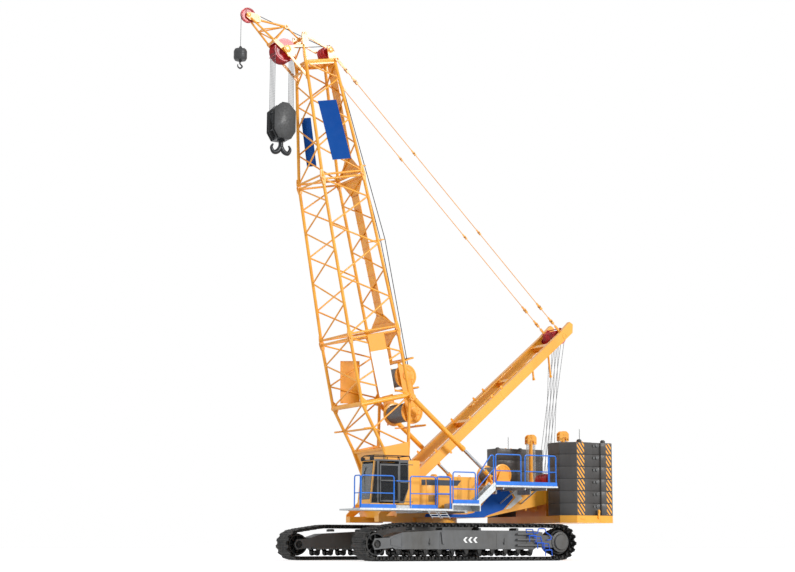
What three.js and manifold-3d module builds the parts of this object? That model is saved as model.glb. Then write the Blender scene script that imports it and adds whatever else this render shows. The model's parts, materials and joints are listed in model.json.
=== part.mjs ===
// Crawler crane with a lattice boom, raised by a mast and pendants, as separate jointed pieces.
// Millimetres, +X forward, +Y to the operator's side (left), +Z up.
// The outer group moves the machine so that the origin is the bottom centre of its bounding box.
import * as THREE from 'three';
import { mergeVertices } from 'three/addons/utils/BufferGeometryUtils.js';
import Module from 'manifold-3d';

const wasm = await Module();
wasm.setup();

// ---------------------------------------------------------------- driving dimensions
const seat = 0.3;                 // gap between two pieces that touch
const rad = Math.PI / 180;

// crawler tracks
const trackLength = 9384;         // over the shoes
const gauge = 6444;               // between the track centre lines
const shoeWidth = 1106;
const idlerHeight = 1234;         // over the shoes at the front
const sprocketHeight = 1406;      // over the shoes at the rear
const trackThickness = 170;       // shoe, link and pin together
const shoePitch = 292;
const shoeNotch = 34;             // depth of the gap between two shoes
const topRunStart = 2970;         // where the top run becomes level

// track frames
const sideFrameWidth = 760;
const sideFrameTop = 1130;
const sideFrameBottom = 430;
const sideFrameFront = 3560;
const sideFrameRear = -3180;
const rollerCount = 11;
const rollerRadius = 118;
const wheelWidth = 560;           // width of sprocket, idler and rollers
const stepWidth = 150;
const stepRear = -3020;            // the lowest tread; each one above starts further forward
const stepFront = -1940;
const stepShift = 180;
const stepLowest = 560;
const stepRise = 210;
const stepThickness = 50;

// carbody and slew ring
const carbodyLength = 3000;
const carbodyWidth = 2500;
const carbodyBottom = 700;
const carbodyTop = 1340;
const beamWidth = 760;            // the four legs from carbody to track frames
const beamHeight = 440;
const slewRadius = 1300;

// upper frame
const frameHalfWidth = 1500;
const frameBottom = 1650;
const frameTop = 2280;
const frameFront = 2780;
const frameRear = -6250;
const frameRearTop = 2900;
const frameRiseFrom = -1860;      // where the frame's underside starts to rise
const frameRearBottom = 2240;
const frameRiseTo = -4900;
const deckBreak = -1300;          // where the deck steps up to the rear
const footPlateThickness = 60;

// boom
const footX = 1619;               // boom and mast hinge line
const footZ = 2467;
const boomAngle = 77.75;
const baseLength = 6390;
const insertLength = 6260;
const topLength = 4700;
const boomEnd = baseLength + insertLength + topLength;
const plateEnd = 1890;            // end of the plated foot
const heavyFrameAt = 3740;        // where the base stops tapering
const boomHalfWidth = 1209;       // chord centre lines in the base
const boomHalfDepth = 1066;
const neckHalfWidth = 1040;       // chord centre lines at the top joint
const neckHalfDepth = 898;
const headHalfWidth = 430;
const headFront = -370;           // front and back chord offsets at the head
const headBack = 910;
const chordRadius = 62;
const laceRadius = 33;
const jointGap = 90;              // between the end frames of two sections
const footLugWidth = 120;

// boom head, jib and sheaves
const headSheaveAlong = boomEnd + 550;
const headSheaveOffset = -1100;
const headSheaveRadius = 450;
const headSheavePack = 560;
const tipSheaveAlong = boomEnd + 2070;
const tipSheaveOffset = -2310;
const tipSheaveRadius = 310;
const tipSheavePack = 110;
const guideSheaveAlong = boomEnd + 410;
const guideSheaveOffset = 800;
const guideSheaveRadius = 240;
const pinRadius = 60;
const jibStayBar = 45;

// winches
const drumFlangeRadius = 480;
const drumRadius = 300;
const drumLength = 1500;
const flangeThickness = 50;
const frontDrumAlong = 4490;
const rearDrumAlong = 3080;
const drumOffset = 1320;

// pendants
const pendantSpacing = 2 * (headHalfWidth + 110);
const pendantWidth = 50;

// mast
const mastAngle = 139.4;
const mastLength = 11150;
const mastHalfSpacing = pendantSpacing / 2 + 150;
const mastBeamWidth = 200;
const mastTopOffset = -190;       // upper and lower edge of the beams, from the hinge line
const mastBottomOffset = 190;
const mastSheaveAlong = 10500;
const mastSheaveOffset = 60;
const mastSheaveRadius = 300;
const mastSheavePack = 860;

// backstops
const backstopSpacing = 2780;
const backstopEyeWidth = 130;
const backstopFootX = -2300;
const backstopFootZ = 3200;
const backstopAlong = 3640;
const barrelRadius = 105;
const rodRadius = 70;
const barrelLength = 3050;

// cab
const cabInner = 2100;
const cabOuter = 3100;
const cabFrontBottom = 4120;
const cabFrontTop = 3950;
const cabRear = 2010;
const cabFloor = 2060;
const cabRoof = 3710;
const cabWall = 45;
const doorRear = 2950;
const doorFront = 3700;
const doorThickness = 36;
const glassThickness = 12;
const doorTravelGap = 12;         // between the cab's side and the sliding door
const doorTravel = 650;

// walkways
const walkOuter = 3700;
const walkInner = 3120;
const walkFront = 4850;
const walkRaiseAt = 950;
const walkRear = -300;
const walkLevel = 1900;
const raisedLevel = 2110;
const floorThickness = 60;
const rearWalkFront = -1150;
const rearWalkRear = -4060;
const rearWalkLevel = 2850;
const rearWalkOuter = 3430;
const railHeight = 1180;
const railRadius = 24;

// side housings
const housingOuter = 3000;
const housingBottom = 1960;
const housingTop = 3130;
const housingFront = 1960;
const housingRear = -560;
const engineHousingRear = -4000;
const serviceDoorWidth = 540;
const serviceDoorThickness = 40;
const doorMargin = 8;
const hingeInset = 3;             // hinge line beyond the leaf's edge
const hingeRadius = 14;
const hingeLength = 100;
const hingeSides = 10;
const doorHandleZ = 2480;
const doorHandleLength = 160;
const engineFront = -1100;
const engineRear = -2900;
const engineInner = 1700;
const engineOuter = 2500;
const engineTop = 2700;

// counterweight
const stackInner = 1860;
const stackOuter = 3150;
const stackFront = -4680;
const stackRear = -7020;
const stackChamfer = 490;
const stackBottom = 1750;
const slabHeight = 483;
const slabCount = 6;
const trayBottom = 1460;
const hoistPostX = -5930;
const hoistPostSpacing = 2340;
const hoistPostTop = 5160;

// hooks
const mainRopeDrop = 2020;        // from the head sheave axle to the hook block's top
const mainBlockWidth = 760;
const auxRopeDrop = 1300;
const ropeRadius = 14;
const grooveShare = 0.12;         // depth of a sheave's groove, as a share of its radius
const ropeSocketDrop = 120;       // from the hook block's top to its rope sockets

// boom base below the heavy frame, and lattice details
const midFrameAt = 2770;
const midFrameFront = -770;
const footFront = -480;           // chord offsets where the plated foot starts
const footBack = 600;
const heavyRadius = 80;
const strutRadius = 42;
const plankHalfWidth = 265;
const plankThickness = 28;
const footGap = 10;               // beside the boom's foot lugs
const drumShaftRadius = 80;
const backstopPin = 48;
const rodStart = 480;
const pendantMastAlong = 10560;
const pendantMastOffset = -120;
const mastCrossMembers = [1900, 4600, 7300, 9700];

// luffing winch and rear sheave block on the upper frame
const luffDrumX = -3300;
const luffDrumZ = 3400;
const luffDrumLength = 1300;
const rearBlockX = -5850;
const rearBlockZ = 3250;
const rearBlockRadius = 260;
const rearBlockWidth = 800;

// cab openings, housings, stairs
const screenFrame = 90;
const screenBottom = 2250;
const screenTop = 3560;
const panel = 40;
const doorBottom = 2080;
const doorTop = 3010;
const leftDoorCentre = 1400;
const rightDoorCentre = -700;
const housingFrontRight = 1300;
const stairInner = 3020;
const stairOuter = 3400;
const stairSteps = 4;
const blockHalfLength = 565;

// ---------------------------------------------------------------- materials
function paint(color, roughness = 0.45, metalness = 0.1) {
  return new THREE.MeshStandardMaterial({ color, roughness, metalness });
}
const finish = {
  yellow: () => paint('#f5a623'),
  frameGrey: () => paint('#5f6060', 0.55),
  trackSteel: () => paint('#232425', 0.6, 0.6),
  darkCab: () => paint('#3c3d3e', 0.4),
  glass: () => paint('#303438', 0.08, 0.0),
  railBlue: () => paint('#2a6fd0'),
  sheaveRed: () => paint('#c01020'),
  hookGrey: () => paint('#454545', 0.5),
  walkGrey: () => paint('#b9bcbd', 0.6),
  seatBlack: () => paint('#1d1e20', 0.8, 0.0),
  bareSteel: () => paint('#8b8d90', 0.4, 0.8),
};

// ---------------------------------------------------------------- solids
function toSolid(geometry) {
  const bare = geometry.clone();
  for (const key of Object.keys(bare.attributes)) {
    if (key !== 'position') bare.deleteAttribute(key);
  }
  const merged = mergeVertices(bare, 1e-3);
  return new wasm.Manifold(new wasm.Mesh({
    numProp: 3,
    vertProperties: new Float32Array(merged.attributes.position.array),
    triVerts: new Uint32Array(merged.index.array),
  }));
}

function toGeometry(solid) {
  const { vertProperties, triVerts, numProp } = solid.getMesh();
  const geometry = new THREE.BufferGeometry();
  const points = new Float32Array((vertProperties.length / numProp) * 3);
  for (let i = 0; i < points.length / 3; i += 1) {
    for (let k = 0; k < 3; k += 1) points[3 * i + k] = vertProperties[numProp * i + k];
  }
  geometry.setAttribute('position', new THREE.BufferAttribute(points, 3));
  geometry.setIndex(new THREE.BufferAttribute(new Uint32Array(triVerts), 1));
  return geometry;
}

const join = (list) => list.slice(1).reduce((sum, next) => sum.add(next), list[0]);
const cut = (body, ...tools) => tools.reduce((rest, tool) => rest.subtract(tool), body);

// a block between two corners
function block(x0, x1, y0, y1, z0, z1) {
  const box = new THREE.BoxGeometry(Math.abs(x1 - x0), Math.abs(y1 - y0), Math.abs(z1 - z0));
  box.translate((x0 + x1) / 2, (y0 + y1) / 2, (z0 + z1) / 2);
  return toSolid(box);
}

// an outline in X and Z, extruded across from y0 to y1
function plate(points, y0, y1) {
  const shape = new THREE.Shape(points.map(([x, z]) => new THREE.Vector2(x, z)));
  const slab = new THREE.ExtrudeGeometry(shape, { depth: Math.abs(y1 - y0), bevelEnabled: false,
    curveSegments: 8 });
  slab.rotateX(Math.PI / 2);
  slab.translate(0, Math.max(y0, y1), 0);
  return toSolid(slab);
}

// an outline in X and Y, extruded upward from z0 to z1
function slab(points, z0, z1) {
  const shape = new THREE.Shape(points.map(([x, y]) => new THREE.Vector2(x, y)));
  const solid = new THREE.ExtrudeGeometry(shape, { depth: z1 - z0, bevelEnabled: false });
  solid.translate(0, 0, z0);
  return toSolid(solid);
}

// a round or many-sided bar between two points
function bar(from, to, radius, sides = 6, endRadius = radius) {
  const a = new THREE.Vector3(...from);
  const b = new THREE.Vector3(...to);
  const along = b.clone().sub(a);
  const rod = new THREE.CylinderGeometry(endRadius, radius, along.length(), sides);
  rod.applyQuaternion(new THREE.Quaternion().setFromUnitVectors(
    new THREE.Vector3(0, 1, 0), along.normalize()));
  rod.translate((a.x + b.x) / 2, (a.y + b.y) / 2, (a.z + b.z) / 2);
  return toSolid(rod);
}

// a round bar across the machine, centred on y
function crossBar(x, z, radius, y0, y1, sides = 20) {
  return bar([x, y0, z], [x, y1, z], radius, sides);
}

// a body of revolution about a line across the machine, from (distance, radius) pairs
function turned(x, z, y0, profile, sides = 20) {
  const lathe = new THREE.LatheGeometry(profile.map(([r, y]) => new THREE.Vector2(r, y)), sides);
  lathe.translate(x, y0, z);
  return toSolid(lathe);
}

function node(name, solid, material) {
  const mesh = new THREE.Mesh(toGeometry(solid), material);
  mesh.name = name;
  return mesh;
}

const mirrored = [['left', 1], ['right', -1]];

// radius of a many-sided bore whose flats stand clear of a round pin
const boreRound = (radius, sides) => (radius + seat) / Math.cos(Math.PI / sides);

// ---------------------------------------------------------------- undercarriage
const idlerRadius = idlerHeight / 2;
const sprocketRadius = sprocketHeight / 2;
const idlerX = trackLength / 2 - idlerRadius;
const sprocketX = -trackLength / 2 + sprocketRadius;

// closed line round idler and sprocket, at the given depth inside the shoes' outer face
function loopLine(depth, arcSteps) {
  const points = [];
  const front = idlerRadius - depth;
  const rear = sprocketRadius - depth;
  const rise = Math.atan2(sprocketHeight - idlerHeight, idlerX - topRunStart);
  for (let i = 0; i <= arcSteps; i += 1) {
    const angle = -Math.PI / 2 + (Math.PI - rise) * (i / arcSteps);
    points.push([idlerX + front * Math.cos(angle), idlerRadius + front * Math.sin(angle)]);
  }
  points.push([topRunStart, sprocketHeight - depth]);
  for (let i = 0; i <= arcSteps; i += 1) {
    const angle = Math.PI / 2 + Math.PI * (i / arcSteps);
    points.push([sprocketX + rear * Math.cos(angle), sprocketRadius + rear * Math.sin(angle)]);
  }
  return points;
}

// the loop line stepped off in shoe pitches, with a notch between two shoes
function shoeOutline() {
  const line = loopLine(0, 12);
  line.push(line[0]);
  const lengths = line.slice(1).map((p, i) => Math.hypot(p[0] - line[i][0], p[1] - line[i][1]));
  const total = lengths.reduce((a, b) => a + b, 0);
  const count = Math.round(total / shoePitch);
  const at = (s) => {
    let rest = ((s % total) + total) % total;
    let i = 0;
    while (rest > lengths[i]) {
      rest -= lengths[i];
      i += 1;
    }
    const t = rest / lengths[i];
    const [p, q] = [line[i], line[i + 1]];
    const inward = [-(q[1] - p[1]) / lengths[i], (q[0] - p[0]) / lengths[i]];
    return { x: p[0] + t * (q[0] - p[0]), z: p[1] + t * (q[1] - p[1]), inward };
  };
  const outline = [];
  for (let i = 0; i < count; i += 1) {
    const s = (i + 0.5) * (total / count);
    const [before, middle, after] = [at(s - 14), at(s), at(s + 14)];
    outline.push([before.x, before.z]);
    outline.push([middle.x + shoeNotch * middle.inward[0], middle.z + shoeNotch * middle.inward[1]]);
    outline.push([after.x, after.z]);
  }
  return outline;
}

function track(centre) {
  const outer = plate(shoeOutline(), centre - shoeWidth / 2, centre + shoeWidth / 2);
  const inner = plate(loopLine(trackThickness, loopSteps), centre - shoeWidth, centre + shoeWidth);
  return cut(outer, inner);
}

// the largest wheel inside the track's inner face, which is made of flats
const loopSteps = 16;
const wheelFit = (outside) => (outside - trackThickness) * Math.cos(Math.PI / 2 / loopSteps) - seat;
const hubShare = 0.34;

// a track wheel with a raised middle and a hub at each side, shorter than the track is wide
function trackWheel(x, z, radius, centre) {
  const half = wheelWidth / 2;
  const hub = (sideFrameWidth - wheelWidth) / 2;
  return turned(x, z, centre, [
    [0, -half - hub], [radius * hubShare, -half - hub], [radius * hubShare, -half], [radius * 0.92, -half],
    [radius * 0.92, -half * 0.35], [radius, -half * 0.3], [radius, half * 0.3],
    [radius * 0.92, half * 0.35], [radius * 0.92, half], [radius * hubShare, half],
    [radius * hubShare, half + hub], [0, half + hub],
  ], 16);
}

function sideFrame(centre, side) {
  const half = sideFrameWidth / 2;
  const idlerHub = wheelFit(idlerRadius) * hubShare + seat;
  const sprocketHub = wheelFit(sprocketRadius) * hubShare + seat;
  const beam = plate([
    [sideFrameFront, sideFrameBottom + 120], [sideFrameFront - 260, sideFrameBottom],
    [sideFrameRear + 420, sideFrameBottom], [sideFrameRear, sideFrameBottom + 190],
    [sideFrameRear, sideFrameTop - 60], [sideFrameRear + 420, sideFrameTop],
    [1400, sideFrameTop], [sideFrameFront - 520, sideFrameTop - 90], [sideFrameFront, sideFrameTop - 250],
  ], centre - half, centre + half);
  const forks = [];
  for (const edge of [-1, 1]) {
    const y0 = centre + edge * (wheelWidth / 2 + 20);
    const y1 = centre + edge * half;
    forks.push(plate([
      [sideFrameFront - 100, idlerRadius + idlerHub + 90], [idlerX + 110, idlerRadius + idlerHub + 50],
      [idlerX + idlerHub + 50, idlerRadius], [idlerX + 110, idlerRadius - idlerHub - 50],
      [sideFrameFront - 100, sideFrameBottom + 60],
    ], Math.min(y0, y1), Math.max(y0, y1)));
    forks.push(plate([
      [sideFrameRear + 100, sprocketRadius + sprocketHub + 90], [sprocketX - 110,
        sprocketRadius + sprocketHub + 50],
      [sprocketX - sprocketHub - 50, sprocketRadius], [sprocketX - 110, sprocketRadius - sprocketHub - 50],
      [sideFrameRear + 100, sprocketRadius - 190],
    ], Math.min(y0, y1), Math.max(y0, y1)));
  }
  const bore = (x, z, r) => crossBar(x, z, r, centre - half - 50, centre + half + 50, 16);
  const shell = join([beam, ...forks, ...trackSteps(centre, side)]);
  return cut(shell, bore(idlerX, idlerRadius, idlerHub), bore(sprocketX, sprocketRadius, sprocketHub));
}

// one rail under the side frame that carries every lower roller
function rollerTrain(centre) {
  const half = wheelWidth / 2;
  const first = sideFrameRear + 520;
  const last = sideFrameFront - 360;
  const axleZ = trackThickness + seat + rollerRadius;
  const rail = block(first - 150, last + 150, centre - half * 0.4, centre + half * 0.4,
    axleZ - 30, sideFrameBottom - seat);
  const rollers = [];
  for (let i = 0; i < rollerCount; i += 1) {
    const x = first + ((last - first) * i) / (rollerCount - 1);
    rollers.push(crossBar(x, axleZ, rollerRadius, centre - half, centre + half, 6));
  }
  return join([rail, ...rollers]);
}

function trackSteps(centre, side) {
  const inner = centre + side * (sideFrameWidth / 2 - 10);
  const outer = inner + side * stepWidth;
  const [y0, y1] = [Math.min(inner, outer), Math.max(inner, outer)];
  return [0, 1, 2].map((i) => block(stepRear + stepShift * i, stepFront, y0, y1,
    stepLowest + stepRise * i, stepLowest + stepRise * i + stepThickness));
}

function carbody() {
  const reach = gauge / 2 - sideFrameWidth / 2 - seat;
  const middle = block(-carbodyLength / 2, carbodyLength / 2, -carbodyWidth / 2, carbodyWidth / 2,
    carbodyBottom, carbodyTop);
  const legs = [];
  for (const end of [-1, 1]) {
    for (const side of [-1, 1]) {
      const x = end * (carbodyLength / 2 - beamWidth / 2 + 250);
      const y0 = side * (carbodyWidth / 2 - 20);
      legs.push(block(x - beamWidth / 2, x + beamWidth / 2, y0, side * reach,
        sideFrameTop - beamHeight - 60, sideFrameTop - 60));
    }
  }
  const seatRing = bar([0, 0, carbodyTop - 10], [0, 0, carbodyTop + 40], slewRadius + 60, 24);
  return join([middle, ...legs, seatRing]);
}

const slewBottom = carbodyTop + 40 + seat;

function slewRing() {
  return bar([0, 0, slewBottom], [0, 0, frameBottom - seat], slewRadius, 24);
}

// ---------------------------------------------------------------- upper frame
const turn = (x, z, angle) => {
  const [c, s] = [Math.cos(angle * rad), Math.sin(angle * rad)];
  return [x * c - z * s, x * s + z * c];
};
// a point of the boom or mast, given along and across it, in the machine's own X and Z
const onArm = (angle) => (along, across) => {
  const [x, z] = turn(along, across, angle);
  return [footX + x, footZ + z];
};
const onBoom = onArm(boomAngle);
const onMast = onArm(mastAngle);

function upperFrame() {
  const main = plate([
    [frameFront - 700, frameBottom], [frameRiseFrom, frameBottom], [frameRiseTo, frameRearBottom],
    [frameRear, frameRearBottom], [frameRear, frameRearTop], [deckBreak - 520, frameRearTop],
    [deckBreak, frameTop], [frameFront - 900, frameTop], [frameFront - 700, frameTop - 120],
  ], -frameHalfWidth, frameHalfWidth);
  const parts = [main];
  for (const side of [-1, 1]) {
    const inner = side * (boomHalfWidth + footLugWidth / 2 + footGap);
    parts.push(plate([
      [footX - 700, frameTop - 40], [frameFront - 720, frameTop - 300], [frameFront, frameBottom - 190],
      [frameFront, frameBottom + 110], [footX + 280, footZ + 160], [footX + 110, footZ + 190],
      [footX - 110, footZ + 190], [footX - 280, footZ + 130],
    ], inner, inner + side * footPlateThickness));
    parts.push(block(1300, frameFront, side * 1000, inner + side * footPlateThickness,
      frameBottom - 190, frameBottom + 40));
    const eye = side * (backstopSpacing / 2 - backstopEyeWidth / 2 - 6);
    parts.push(plate([
      [backstopFootX - 300, frameRearTop - 20], [backstopFootX + 300, frameRearTop - 20],
      [backstopFootX + 110, backstopFootZ + 60], [backstopFootX - 110, backstopFootZ + 60],
    ], eye, eye - side * 40));
  }
  parts.push(crossBar(footX, footZ, pinRadius, -boomHalfWidth - 160, boomHalfWidth + 160, 16));
  const winchLug = (y) => plate([
    [luffDrumX - 420, frameRearTop - 20], [luffDrumX + 420, frameRearTop - 20],
    [luffDrumX + 150, luffDrumZ + 140], [luffDrumX - 150, luffDrumZ + 140],
  ], y - 20, y + 20);
  const blockLug = (y) => plate([
    [rearBlockX - 200, frameRearTop - 20], [rearBlockX + 200, frameRearTop - 20],
    [rearBlockX + 100, rearBlockZ + 100], [rearBlockX - 100, rearBlockZ + 100],
  ], y - 20, y + 20);
  for (const side of [-1, 1]) {
    parts.push(winchLug(side * (luffDrumLength / 2 + 60)), blockLug(side * (rearBlockWidth / 2 + 50)));
  }
  return cut(join(parts),
    crossBar(luffDrumX, luffDrumZ, boreRound(drumShaftRadius, 12), -1400, 1400, 12),
    crossBar(rearBlockX, rearBlockZ, boreRound(pinRadius, 12), -1400, 1400, 12));
}

// ---------------------------------------------------------------- side housings
function housing(rear, front, side, doorCentre, bearers = []) {
  const inner = side * (frameHalfWidth + seat);
  const outer = side * housingOuter;
  const body = block(rear, front, inner, outer, housingBottom, housingTop);
  const hollow = block(rear + panel, front - panel, inner + side * panel, outer - side * panel,
    housingBottom - 10, housingTop - panel);
  const doorway = block(doorCentre - serviceDoorWidth / 2 - doorMargin,
    doorCentre + serviceDoorWidth / 2 + doorMargin,
    outer - side * 60, outer + side * 10, doorBottom - doorMargin, doorTop + doorMargin);
  const foot = block(rear, front, inner, outer - side * 200, housingBottom - floorThickness, housingBottom);
  const pan = cut(foot, block(rear + 300, front - 300, inner + side * 200, outer - side * 400, 0, 9000));
  const beams = bearers.map((x) => block(x - 80, x + 80, inner + side * 100, outer - side * 300,
    housingBottom - floorThickness, housingBottom));
  return join([cut(body, hollow, doorway), pan, ...beams, ...doorHinges(side, doorCentre, 0)]);
}

// hinge barrels at the front edge of a service door, or the room that the turning leaf leaves for them
function doorHinges(side, doorCentre, clear) {
  const x = doorCentre + serviceDoorWidth / 2 + hingeInset;
  const radius = clear ? boreRound(hingeRadius, hingeSides) : hingeRadius;
  return [doorBottom + 110, doorTop - 110 - hingeLength].map((z) => bar([x, side * housingOuter, z - clear],
    [x, side * housingOuter, z + hingeLength + clear], radius, hingeSides));
}

function serviceDoor(side, centre) {
  const outer = side * housingOuter;
  const leaf = block(centre - serviceDoorWidth / 2, centre + serviceDoorWidth / 2,
    outer - side * serviceDoorThickness, outer, doorBottom, doorTop);
  const handle = block(centre - serviceDoorWidth / 2 + 60, centre - serviceDoorWidth / 2 + 90,
    outer - side * 5, outer + side * 30, doorHandleZ, doorHandleZ + doorHandleLength);
  return cut(join([leaf, handle]), ...doorHinges(side, centre, seat));
}

// ---------------------------------------------------------------- cab
const doorFace = cabOuter + doorTravelGap;
const cabSide = (inset) => [
  [cabRear + inset, cabFloor + inset], [cabFrontBottom - inset, cabFloor + inset],
  [cabFrontTop - inset, cabRoof - inset], [cabRear + inset + 120, cabRoof - inset],
  [cabRear + inset, cabRoof - inset - 160],
];

function cabShell() {
  const body = plate(cabSide(0), cabInner, cabOuter);
  const hollow = plate(cabSide(cabWall), cabInner + cabWall, cabOuter - cabWall);
  const through = (y) => [y - cabWall - 10, y + cabWall + 10];
  const doorway = block(doorRear, doorFront, ...through(cabOuter), cabFloor + 120, cabRoof - 190);
  const screen = block(cabFrontTop - cabWall - 60, cabFrontBottom + 100, cabInner + screenFrame,
    cabOuter - screenFrame, screenBottom, screenTop);
  const innerWindow = block(doorRear, doorFront, ...through(cabInner), cabFloor + 700, cabRoof - 190);
  const rearWindow = block(cabRear + 560, doorRear - 90, ...through(cabOuter), cabFloor + 560,
    cabRoof - 190);
  const runner = (z) => block(doorRear - doorTravel, doorFront + 30, cabOuter - 10, doorFace - seat, z,
    z + 24);
  return join([cut(body, hollow, doorway, screen, innerWindow, rearWindow), runner(cabFloor + 94),
    runner(cabRoof - 188)]);
}

function cabDoor() {
  const through = [doorFace - 5, doorFace + doorThickness + 5];
  const leaf = block(doorRear - 30, doorFront + 30, doorFace, doorFace + doorThickness, cabFloor + 90,
    cabRoof - 160);
  const window = block(doorRear + 60, doorFront - 60, ...through, cabFloor + 640, cabRoof - 240);
  const handle = block(doorRear, doorRear + 40, doorFace + doorThickness - 2, doorFace + doorThickness + 30,
    cabFloor + 480, cabFloor + 700);
  return join([cut(leaf, window), handle]);
}

function doorGlass() {
  const y = doorFace + doorThickness / 2;
  return block(doorRear + 60 + seat, doorFront - 60 - seat, y - glassThickness / 2, y + glassThickness / 2,
    cabFloor + 640 + seat, cabRoof - 240 - seat);
}

function windscreen() {
  const slope = (cabFrontBottom - cabFrontTop) / (cabRoof - cabFloor);
  const faceAt = (z) => cabFrontBottom - slope * (z - cabFloor) - 25;
  const [z0, z1] = [screenBottom + seat, screenTop - seat];
  return plate([
    [faceAt(z0), z0], [faceAt(z0) + glassThickness, z0], [faceAt(z1) + glassThickness, z1],
      [faceAt(z1), z1],
  ], cabInner + screenFrame + seat, cabOuter - screenFrame - seat);
}

const cabMiddle = (cabInner + cabOuter) / 2;
const cabDeck = cabFloor + cabWall + seat;

function operatorSeat() {
  const x = 2920;
  return join([
    block(x - 180, x + 180, cabMiddle - 170, cabMiddle + 170, cabDeck, cabDeck + 330),
    block(x - 250, x + 270, cabMiddle - 240, cabMiddle + 240, cabDeck + 320, cabDeck + 460),
    plate([[x - 260, cabDeck + 440], [x - 140, cabDeck + 440], [x - 210, cabDeck + 1060],
      [x - 330, cabDeck + 1060]], cabMiddle - 230, cabMiddle + 230),
  ]);
}

function controlConsole() {
  const parts = [block(2640, 2680, cabMiddle - 400, cabMiddle + 400, cabDeck, cabDeck + 120)];
  for (const side of [-1, 1]) {
    const [y0, y1] = [cabMiddle + side * 290, cabMiddle + side * 400];
    parts.push(block(2660, 2900, y0, y1, cabDeck, cabDeck + 120));
    parts.push(block(2880, 3000, y0, y1, cabDeck, cabDeck + 440));
    parts.push(block(2860, 3260, y0, y1, cabDeck + 430, cabDeck + 640));
  }
  return join(parts);
}

// ---------------------------------------------------------------- walkways and rails
// The walkway beside the housing. The right side has only its raised part.
function lowerWalkway(side) {
  const [a, b] = [side * walkInner, side * walkOuter];
  const under = walkLevel - floorThickness;
  const parts = [
    block(walkRear, walkRaiseAt, a, b, raisedLevel - floorThickness, raisedLevel),
    block(walkRaiseAt - 40, walkRaiseAt, a, b, under, raisedLevel),
    block(walkRear, walkRear + 40, a, b, under, raisedLevel),
    block(walkRear, walkRaiseAt, a, a + side * 40, under, raisedLevel),
  ];
  const arm = (x) => block(x - 60, x + 60, side * (frameHalfWidth + seat), a + side * 30,
    under - 60, under + 20);
  parts.push(arm(0));
  if (side > 0) {
    parts.push(block(walkRaiseAt - 20, walkFront, a, b, under, walkLevel), arm(1600));
    parts.push(block(cabFrontBottom + 60, walkFront, cabInner, a + 10, under, walkLevel));
    parts.push(block(cabRear + 100, cabFrontBottom + 70, cabInner, a + 10, under, walkLevel));
    parts.push(block(cabRear + 50, cabFrontBottom - 100, cabInner + 60, cabOuter - 60, walkLevel - 10,
      cabFloor - seat));
    parts.push(block(1900, cabRear + 110, frameHalfWidth + seat, a + 10, under - 60, walkLevel - 40));
  }
  return join(parts);
}

// posts, two rails and a toe board along one line, standing on a floor
function railRun(posts, y, floor, height = railHeight) {
  const parts = posts.map((x) => bar([x, y, floor + seat], [x, y, floor + height], railRadius, 4));
  const [x0, x1] = [Math.min(...posts), Math.max(...posts)];
  for (const z of [floor + height, floor + height * 0.55]) {
    parts.push(bar([x0 - railRadius, y, z], [x1 + railRadius, y, z], railRadius, 4));
  }
  parts.push(block(x0, x1, y - 8, y + 8, floor + 10, floor + 120));
  return parts;
}

function handrailLeft() {
  const y = walkOuter - 50;
  const link = [walkLevel, raisedLevel].map((z) => z + railHeight * 0.55);
  return join([
    ...railRun([4780, 4460, 3370, 2710, 1650, walkRaiseAt + 40], y, walkLevel),
    ...railRun([walkRaiseAt - 60, walkRear + 200], y, raisedLevel),
    bar([walkRaiseAt + 40, y, link[0]], [walkRaiseAt - 60, y, link[1]], railRadius, 4),
  ]);
}

function handrailRight() {
  return join(railRun([walkRaiseAt - 60, walkRear + 60], -walkOuter + 50, raisedLevel));
}

function handrailRear() {
  return join(railRun([rearWalkFront - 40, -2350, -2540, -3460, rearWalkRear + 60], rearWalkOuter - 50,
    rearWalkLevel));
}

// the upper walkway with its brackets and the stairs down to the raised walkway
function rearWalkway() {
  const under = rearWalkLevel - floorThickness;
  const parts = [block(rearWalkRear, rearWalkFront, frameHalfWidth + seat, rearWalkOuter, under,
    rearWalkLevel)];
  for (const x of [rearWalkFront - 700, rearWalkRear + 600]) {
    parts.push(block(x - 30, x + 30, frameHalfWidth + seat, frameHalfWidth + 900, under - 240, under + 10));
  }
  const [x0, z0] = [walkRear - 30, raisedLevel];
  const [x1, z1] = [rearWalkFront - 10, rearWalkLevel - 20];
  for (const y of [stairInner, stairOuter]) {
    parts.push(plate([[x0, z0 - 120], [x0, z0 + 40], [x1, z1], [x1, z1 - 170]], y - 15, y + 15));
  }
  for (let i = 1; i <= stairSteps; i += 1) {
    const t = i / (stairSteps + 1);
    const [x, z] = [x0 + (x1 - x0) * t, z0 - 40 + (z1 - z0) * t];
    parts.push(block(x - 100, x + 100, stairInner, stairOuter, z - 15, z + 15));
  }
  return join(parts);
}

// ---------------------------------------------------------------- counterweight
const stackOutline = (side) => [
  [stackFront, side * stackInner], [stackFront, side * (stackOuter - stackChamfer)],
  [stackFront - stackChamfer, side * stackOuter], [stackRear + 120, side * stackOuter],
  [stackRear, side * (stackOuter - 120)], [stackRear, side * stackInner],
];

function counterweightStack(side) {
  const top = stackBottom + seat + slabCount * slabHeight;
  const stack = slab(stackOutline(side), stackBottom + seat, top);
  const middle = (stackFront - stackChamfer + stackRear) / 2 - 60;
  const groove = block(middle - 220, middle + 220, side * (stackOuter - 90), side * (stackOuter + 10),
    stackBottom - 10, top + 10);
  return cut(stack, groove);
}

function counterweightTray() {
  const outer = (side) => stackOutline(side).filter(([, y]) => Math.abs(y) > stackInner + 1);
  const tray = slab([...outer(1), ...outer(-1).reverse()], trayBottom, stackBottom);
  const pedestal = block(frameRear + 60, frameRiseTo - 200, -1100, 1100, stackBottom - 10,
    frameRearBottom - seat);
  return join([tray, pedestal]);
}

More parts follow.
